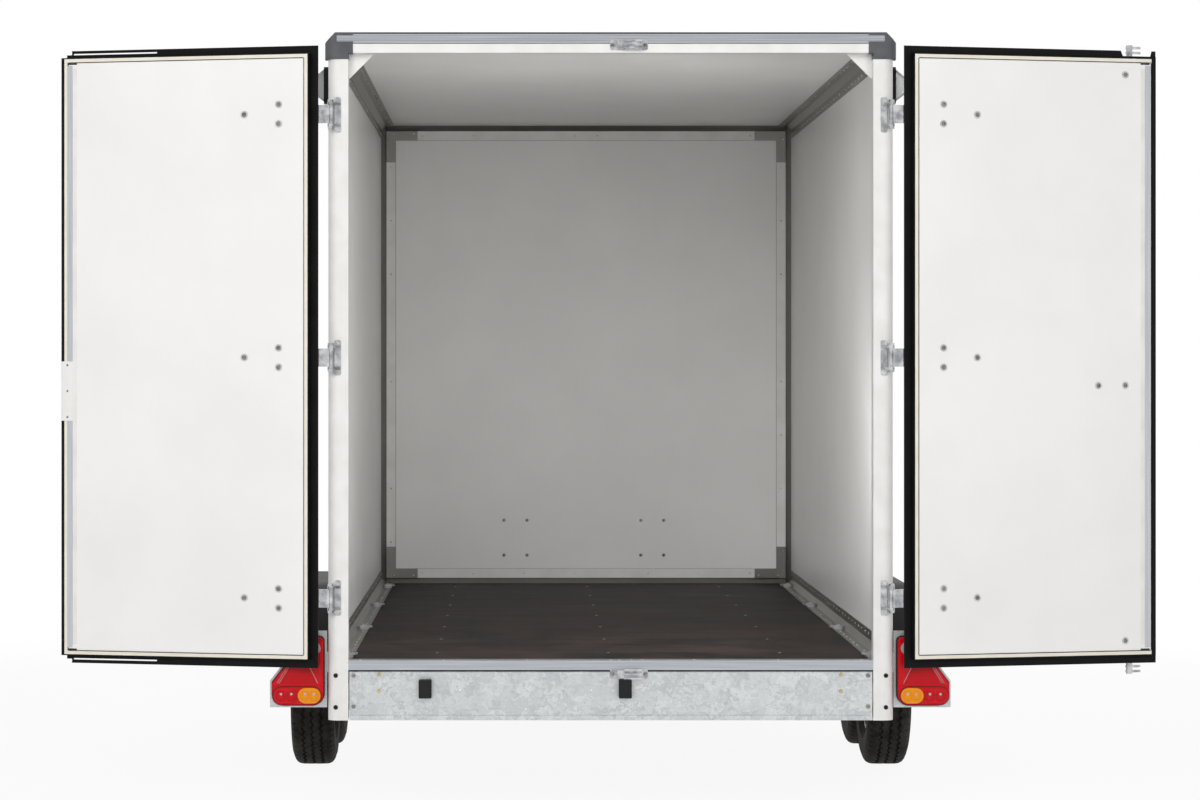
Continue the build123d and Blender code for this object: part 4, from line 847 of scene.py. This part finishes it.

# The flat trims stop short of the wall panel and leave a narrow joint. The brown bars in it are painted shade,
# standing in for the shade in that joint.
joint_inset = 67 * MM
joint_width = 1.5 * MM
joint = wall_face - joint_inset
low_joint, high_joint = floor_top + joint_inset, ceiling - joint_inset
depths = (front_face - 1.5 * MM, front_face)
joint_shade_bars = []
for upper in (low_joint, high_joint + joint_width):
    joint_shade_bars.append(level_bar((-joint, joint), depths, (upper - joint_width, upper)))
for hand in (-1, 1):
    sides = (hand * joint - 0.7 * MM, hand * joint + 0.7 * MM)
    joint_shade_bars.append(level_bar(sides, depths, (low_joint, high_joint)))
bars("front_wall_joint_shade", "root", joint_shade_bars, shade_brown, 0.2)

# %% [markdown]
# ## Screws of the floor, the sill and the front wall
#
# The floor is held by countersunk screws over each crossmember, the sill by pan heads along its upper edge.
# Two groups of four bolts go through the front wall, where the load's own fittings are held outside.

# %% Screws of the load space
floor_screws = []
for across in (-0.602, 0.602, 0.0):
    floor_screws += row((across, rear_face + 0.30, floor_top), (across, front_face - 0.26, floor_top), 7, (0, 0, 1))
fasten("floor_screws", "root", floor_screws, plain_zinc, 11, 0.8, 0.8, 14, 4)

sill_screws = row((-0.86, rear_face + 0.014, floor_top), (0.86, rear_face + 0.014, floor_top), 7, (0, 0, 1))
sill_screws += row((0.03, rear_face + 0.014, floor_top), (0.11, rear_face + 0.014, floor_top), 3, (0, 0, 1))
fasten("sill_screws", "root", sill_screws, plain_zinc, 10, 3, 0.55, 12, 4)

wall_bolts = []
for height in (0.831, 0.669):
    for across in (-0.381, -0.274, 0.254, 0.360):
        wall_bolts.append((Vector((across, front_face, height)), Vector((0, -1, 0))))
bolt_on("front_wall_bolts", "root", wall_bolts, 18, 13, 5, 0.65, 14, 6)

# %% [markdown]
# ## Bolts of the rear frame
#
# Black socket bolts join the posts to the beam. The beam itself carries plain zinc hexagon bolts at its ends and
# two yellow-passivated ones for the spare fittings. Screws hold the keepers and the lamps.

# %% Bolts seen from behind
def rear_spots(acrosses, face, heights):
    """Spots on a face that looks to the rear, at every across with every height."""
    return [(Vector((across, face, height)), back) for across in acrosses for height in heights]


post_bolts = rear_spots((0.943, -0.943), face_of("rear_posts"), (0.488, 0.379))
fasten("post_bolts", "root", post_bolts, black_plastic, 16, 6, 0.7, 16, 8)
beam_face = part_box("rear_beam")[0].y + 5 * MM
beam_bolts = rear_spots((-0.882, 0.882), beam_face, (0.488, 0.382))
bolt_on("beam_bolts", "root", beam_bolts, 19, 15, 6, 0.95, 6)
passivated_bolts = rear_spots((-0.795, 0.789), beam_face, (0.4917, 0.435))
fasten("passivated_bolts", "root", passivated_bolts, yellow_zinc, 14, 5, 0.85, 6)
keeper_screws = rear_spots((0.005, 0.118), face_of("lock_keepers") + 18 * MM, (2.649, 0.494))
fasten("keeper_screws", "root", keeper_screws, dark_zinc, 13, 2.5, 0.6, 14, 5)
lamp_face = face_of("tail_lamp_housings")
lamp_screws = []
for hand in (1, -1):
    lamp_screws += rear_spots((hand * 0.991,), lamp_face, (0.442,))
    lamp_screws += rear_spots((hand * 1.160,), lamp_face, (0.441,))
fasten("lamp_screws", "root", lamp_screws, plain_zinc, 9, 3, 0.6, 12)

# %% [markdown]
# ## Tyres
#
# Each tyre has three zigzag grooves and a row of notches on either shoulder. The tread repeats every few
# degrees, so only one pitch of it is modelled, as a strip that runs over the tyre from bead to bead and back
# through the inside. A Geometry Nodes tree turns copies of it round the axle and welds them into one ring.

# %% Shape of one tread pitch
pitches = 62
side_line = [(64, 165), (69, 171), (75, 183), (79, 195), (80.5, 197), (80.5, 200), (79.8, 202), (82, 218), (82.5, 236)]
side_line += [(81.5, 252), (82.3, 254), (82.3, 258), (80.5, 260), (78, 271), (73.5, 281), (67, 289), (59, 293.5)]
groove_centres = (-34, 0, 34)


def zigzag(share):
    """How far the grooves are moved sideways at that share of a pitch, in millimetres."""
    return 4.5 - 9 * abs(2 * share - 1)


def tread_columns(share):
    """Points (x, radius) over the tyre at that share of a pitch, in millimetres."""
    notch = 4 if share == 0.5 else 0
    rising = [(-x, radius - (notch if radius > 280 else 0)) for x, radius in side_line]
    crown = [(-53, 295.3)]
    for centre in groove_centres:
        x = centre + zigzag(share)
        crown += [(x - 5, 296.5), (x - 3.5, 297 - 8), (x + 3.5, 297 - 8), (x + 5, 296.5)]
        if centre < 34:
            crown.append((centre + 17, 297))
    crown.append((53, 295.3))
    falling = [(-x, radius) for x, radius in reversed(rising)]
    return rising + crown + falling


def tread_pitch():
    """Mesh of one pitch of the tyre, round the X axis."""
    shape = bmesh.new()
    rows = []
    for share in (0.0, 0.42, 0.5, 0.58, 1.0):
        angle = share * 2 * math.pi / pitches
        ahead, up = -math.sin(angle) * MM, math.cos(angle) * MM
        rows.append([shape.verts.new((x * MM, ahead * radius, up * radius)) for x, radius in tread_columns(share)])
    for near, far in zip(rows, rows[1:]):
        for number in range(len(near)):
            after = (number + 1) % len(near)
            shape.faces.new((near[number], near[after], far[after], far[number]))
    bmesh.ops.recalc_face_normals(shape, faces=shape.faces)
    mesh = bpy.data.meshes.new("tread pitch")
    shape.to_mesh(mesh)
    shape.free()
    return mesh


print("columns across a tyre:", len(tread_columns(0)))

# %% [markdown]
# The tree places every copy at the axle, turned a little farther each time, merges the doubled seams by
# distance, and moves the ring to its hub.


# %% Tree that turns a pitch round the axle
def ring_tree():
    tree = bpy.data.node_groups.new("pitch round an axle", "GeometryNodeTree")
    for label, kind in {"Pitch": "Geometry", "Copies": "Int", "Centre": "Vector", "Finish": "Material"}.items():
        tree.interface.new_socket(label, in_out="INPUT", socket_type=f"NodeSocket{kind}")
    tree.interface.new_socket("Ring", in_out="OUTPUT", socket_type="NodeSocketGeometry")
    given = add(tree, "NodeGroupInput").outputs
    points = add(tree, "GeometryNodeMeshLine", {"Count": given["Copies"], "Offset": (0.0, 0.0, 0.0)})
    number = add(tree, "GeometryNodeInputIndex")
    step = add(tree, "ShaderNodeMath", {0: 2 * math.pi, 1: given["Copies"]}, operation="DIVIDE")
    angle = add(tree, "ShaderNodeMath", {0: number.outputs["Index"], 1: step.outputs[0]}, operation="MULTIPLY")
    turn = add(tree, "ShaderNodeCombineXYZ", {"X": angle.outputs[0]})
    copies = add(
        tree,
        "GeometryNodeInstanceOnPoints",
        {"Points": points.outputs["Mesh"], "Instance": given["Pitch"], "Rotation": turn.outputs["Vector"]},
    )
    real = add(tree, "GeometryNodeRealizeInstances", {"Geometry": copies.outputs["Instances"]})
    welded = add(tree, "GeometryNodeMergeByDistance", {"Geometry": real.outputs["Geometry"], "Distance": 0.05 * MM})
    moved = add(
        tree, "GeometryNodeTransform", {"Geometry": welded.outputs["Geometry"], "Translation": given["Centre"]}
    )
    done = add(tree, "GeometryNodeSetMaterial", {"Geometry": moved.outputs["Geometry"], "Material": given["Finish"]})
    add(tree, "NodeGroupOutput", {"Ring": done.outputs["Geometry"]})
    return tree


ring = ring_tree()
pitch = tread_pitch()
for wheel in wheels:
    low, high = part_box(f"tyre_{wheel}")
    centre = (low + high) / 2
    tyre = grow(f"treaded_tyre_{wheel}", pitch, ring, {"Copies": pitches, "Centre": centre[:], "Finish": tyre_rubber})
    tyre.data.set_sharp_from_angle(angle=math.radians(35))
    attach(tyre, f"wheel_{wheel}")
    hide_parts(f"tyre_{wheel}")
print("faces of a tyre:", len(tyre.data.polygons))

# %% [markdown]
# ## Floor, light and camera
#
# The trailer stands on a white studio floor under two large soft lights, with a weak one for each inner wall and
# one for the nose. The floor is a little darker near the trailer and turns fully white farther out, so that it
# meets the white background with no line. Where the
# camera, a reflection or a lens looks at it, most of its white is its own light.


# %% Studio floor
def studio_floor():
    floor = bpy.data.materials.new("studio floor")
    floor.use_nodes = True
    tree = floor.node_tree
    tree.nodes.clear()
    place = add(tree, "ShaderNodeTexCoord").outputs["Object"]
    away = add(tree, "ShaderNodeVectorMath", {0: place}, operation="LENGTH")
    fade = add(
        tree,
        "ShaderNodeMapRange",
        {"Value": away.outputs["Value"], "From Min": 3.0, "From Max": 6.0, "To Min": 0.92, "To Max": 1.0},
        interpolation_type="SMOOTHSTEP",
    )
    ray = add(tree, "ShaderNodeLightPath").outputs
    seen = add(tree, "ShaderNodeMath", {0: ray["Is Camera Ray"], 1: ray["Is Glossy Ray"]}, operation="MAXIMUM")
    seen = add(tree, "ShaderNodeMath", {0: seen.outputs[0], 1: ray["Is Transmission Ray"]}, operation="MAXIMUM")
    own = add(tree, "ShaderNodeMath", {0: seen.outputs[0], 1: fade.outputs["Result"]}, operation="MULTIPLY")
    matte = add(tree, "ShaderNodeBsdfDiffuse", {"Color": paint("#F2F2F2")})
    light = add(tree, "ShaderNodeEmission", {"Color": (1, 1, 1, 1), "Strength": 1.0})
    mixed = add(
        tree, "ShaderNodeMixShader", {0: own.outputs[0], 1: matte.outputs["BSDF"], 2: light.outputs["Emission"]}
    )
    add(tree, "ShaderNodeOutputMaterial", {"Surface": mixed.outputs["Shader"]})
    shape = bmesh.new()
    bmesh.ops.create_circle(shape, cap_ends=True, segments=64, radius=60)
    mesh = bpy.data.meshes.new("studio floor")
    shape.to_mesh(mesh)
    shape.free()
    mesh.materials.append(floor)
    piece = bpy.data.objects.new("studio_floor", mesh)
    bpy.context.scene.collection.objects.link(piece)
    return piece


studio_floor()

# %% [markdown]
# The background is white for the eye and for reflections, while the light it throws on the trailer is weaker,
# so that pale panels keep their shading.

# %% Background and lights
world = bpy.data.worlds.new("studio")
bpy.context.scene.world = world
world.use_nodes = True
world.node_tree.nodes.clear()
ray = add(world.node_tree, "ShaderNodeLightPath").outputs
seen = add(world.node_tree, "ShaderNodeMath", {0: ray["Is Camera Ray"], 1: ray["Is Glossy Ray"]}, operation="MAXIMUM")
seen = add(
    world.node_tree, "ShaderNodeMath", {0: seen.outputs[0], 1: ray["Is Transmission Ray"]}, operation="MAXIMUM"
)
glow = add(world.node_tree, "ShaderNodeMapRange", {"Value": seen.outputs[0], "To Min": 0.36, "To Max": 1.0})
sky = add(world.node_tree, "ShaderNodeBackground", {"Color": (1, 1, 1, 1), "Strength": glow.outputs["Result"]})
add(world.node_tree, "ShaderNodeOutputWorld", {"Surface": sky.outputs["Background"]})


def soft_light(name, watts, size, place, target):
    lamp = bpy.data.lights.new(name, "AREA")
    lamp.energy = watts
    lamp.shape = "DISK"
    lamp.size = size
    piece = bpy.data.objects.new(name, lamp)
    piece.location = place
    piece.rotation_euler = (Vector(target) - Vector(place)).to_track_quat("-Z", "Y").to_euler()
    piece.visible_glossy = False  # metals mirror the white background and the floor, not the lamps
    bpy.context.scene.collection.objects.link(piece)


doorway = (0, rear_face, (floor_top + ceiling) / 2)
soft_light("key light", 310, 4.0, (-2.6, rear_face - 8.0, 4.4), doorway)
soft_light("fill light", 175, 4.0, (3.4, rear_face - 8.5, 3.2), doorway)
soft_light("left wall light", 10.5, 1.0, (0.45, rear_face + 0.1, 1.3), (-wall_face, rear_face + 2.8, 1.3))
soft_light("right wall light", 2.2, 1.0, (-0.45, rear_face + 0.1, 1.3), (wall_face, rear_face + 2.8, 1.3))
soft_light("front light", 220, 5.0, (3.0, 8.0, 5.0), (0, 1.5, 1.0))

# %% [markdown]
# The camera stands well behind the trailer at eye height and looks level and straight ahead. The lens is moved
# a little sideways and down in place of turning the camera, which keeps every upright edge upright.

# %% Camera
camera = bpy.data.cameras.new("camera")
camera.lens = 98.9
camera.sensor_width = 36.0
camera.shift_x = 0.07
camera.shift_y = -0.03
camera.clip_end = 200.0
camera_piece = bpy.data.objects.new("camera", camera)
camera_piece.location = (-0.325, rear_face - 11.3, 1.556)
camera_piece.rotation_euler = (math.radians(90), 0, 0)
bpy.context.scene.collection.objects.link(camera_piece)
bpy.context.scene.camera = camera_piece
bpy.context.scene.view_settings.view_transform = "Standard"
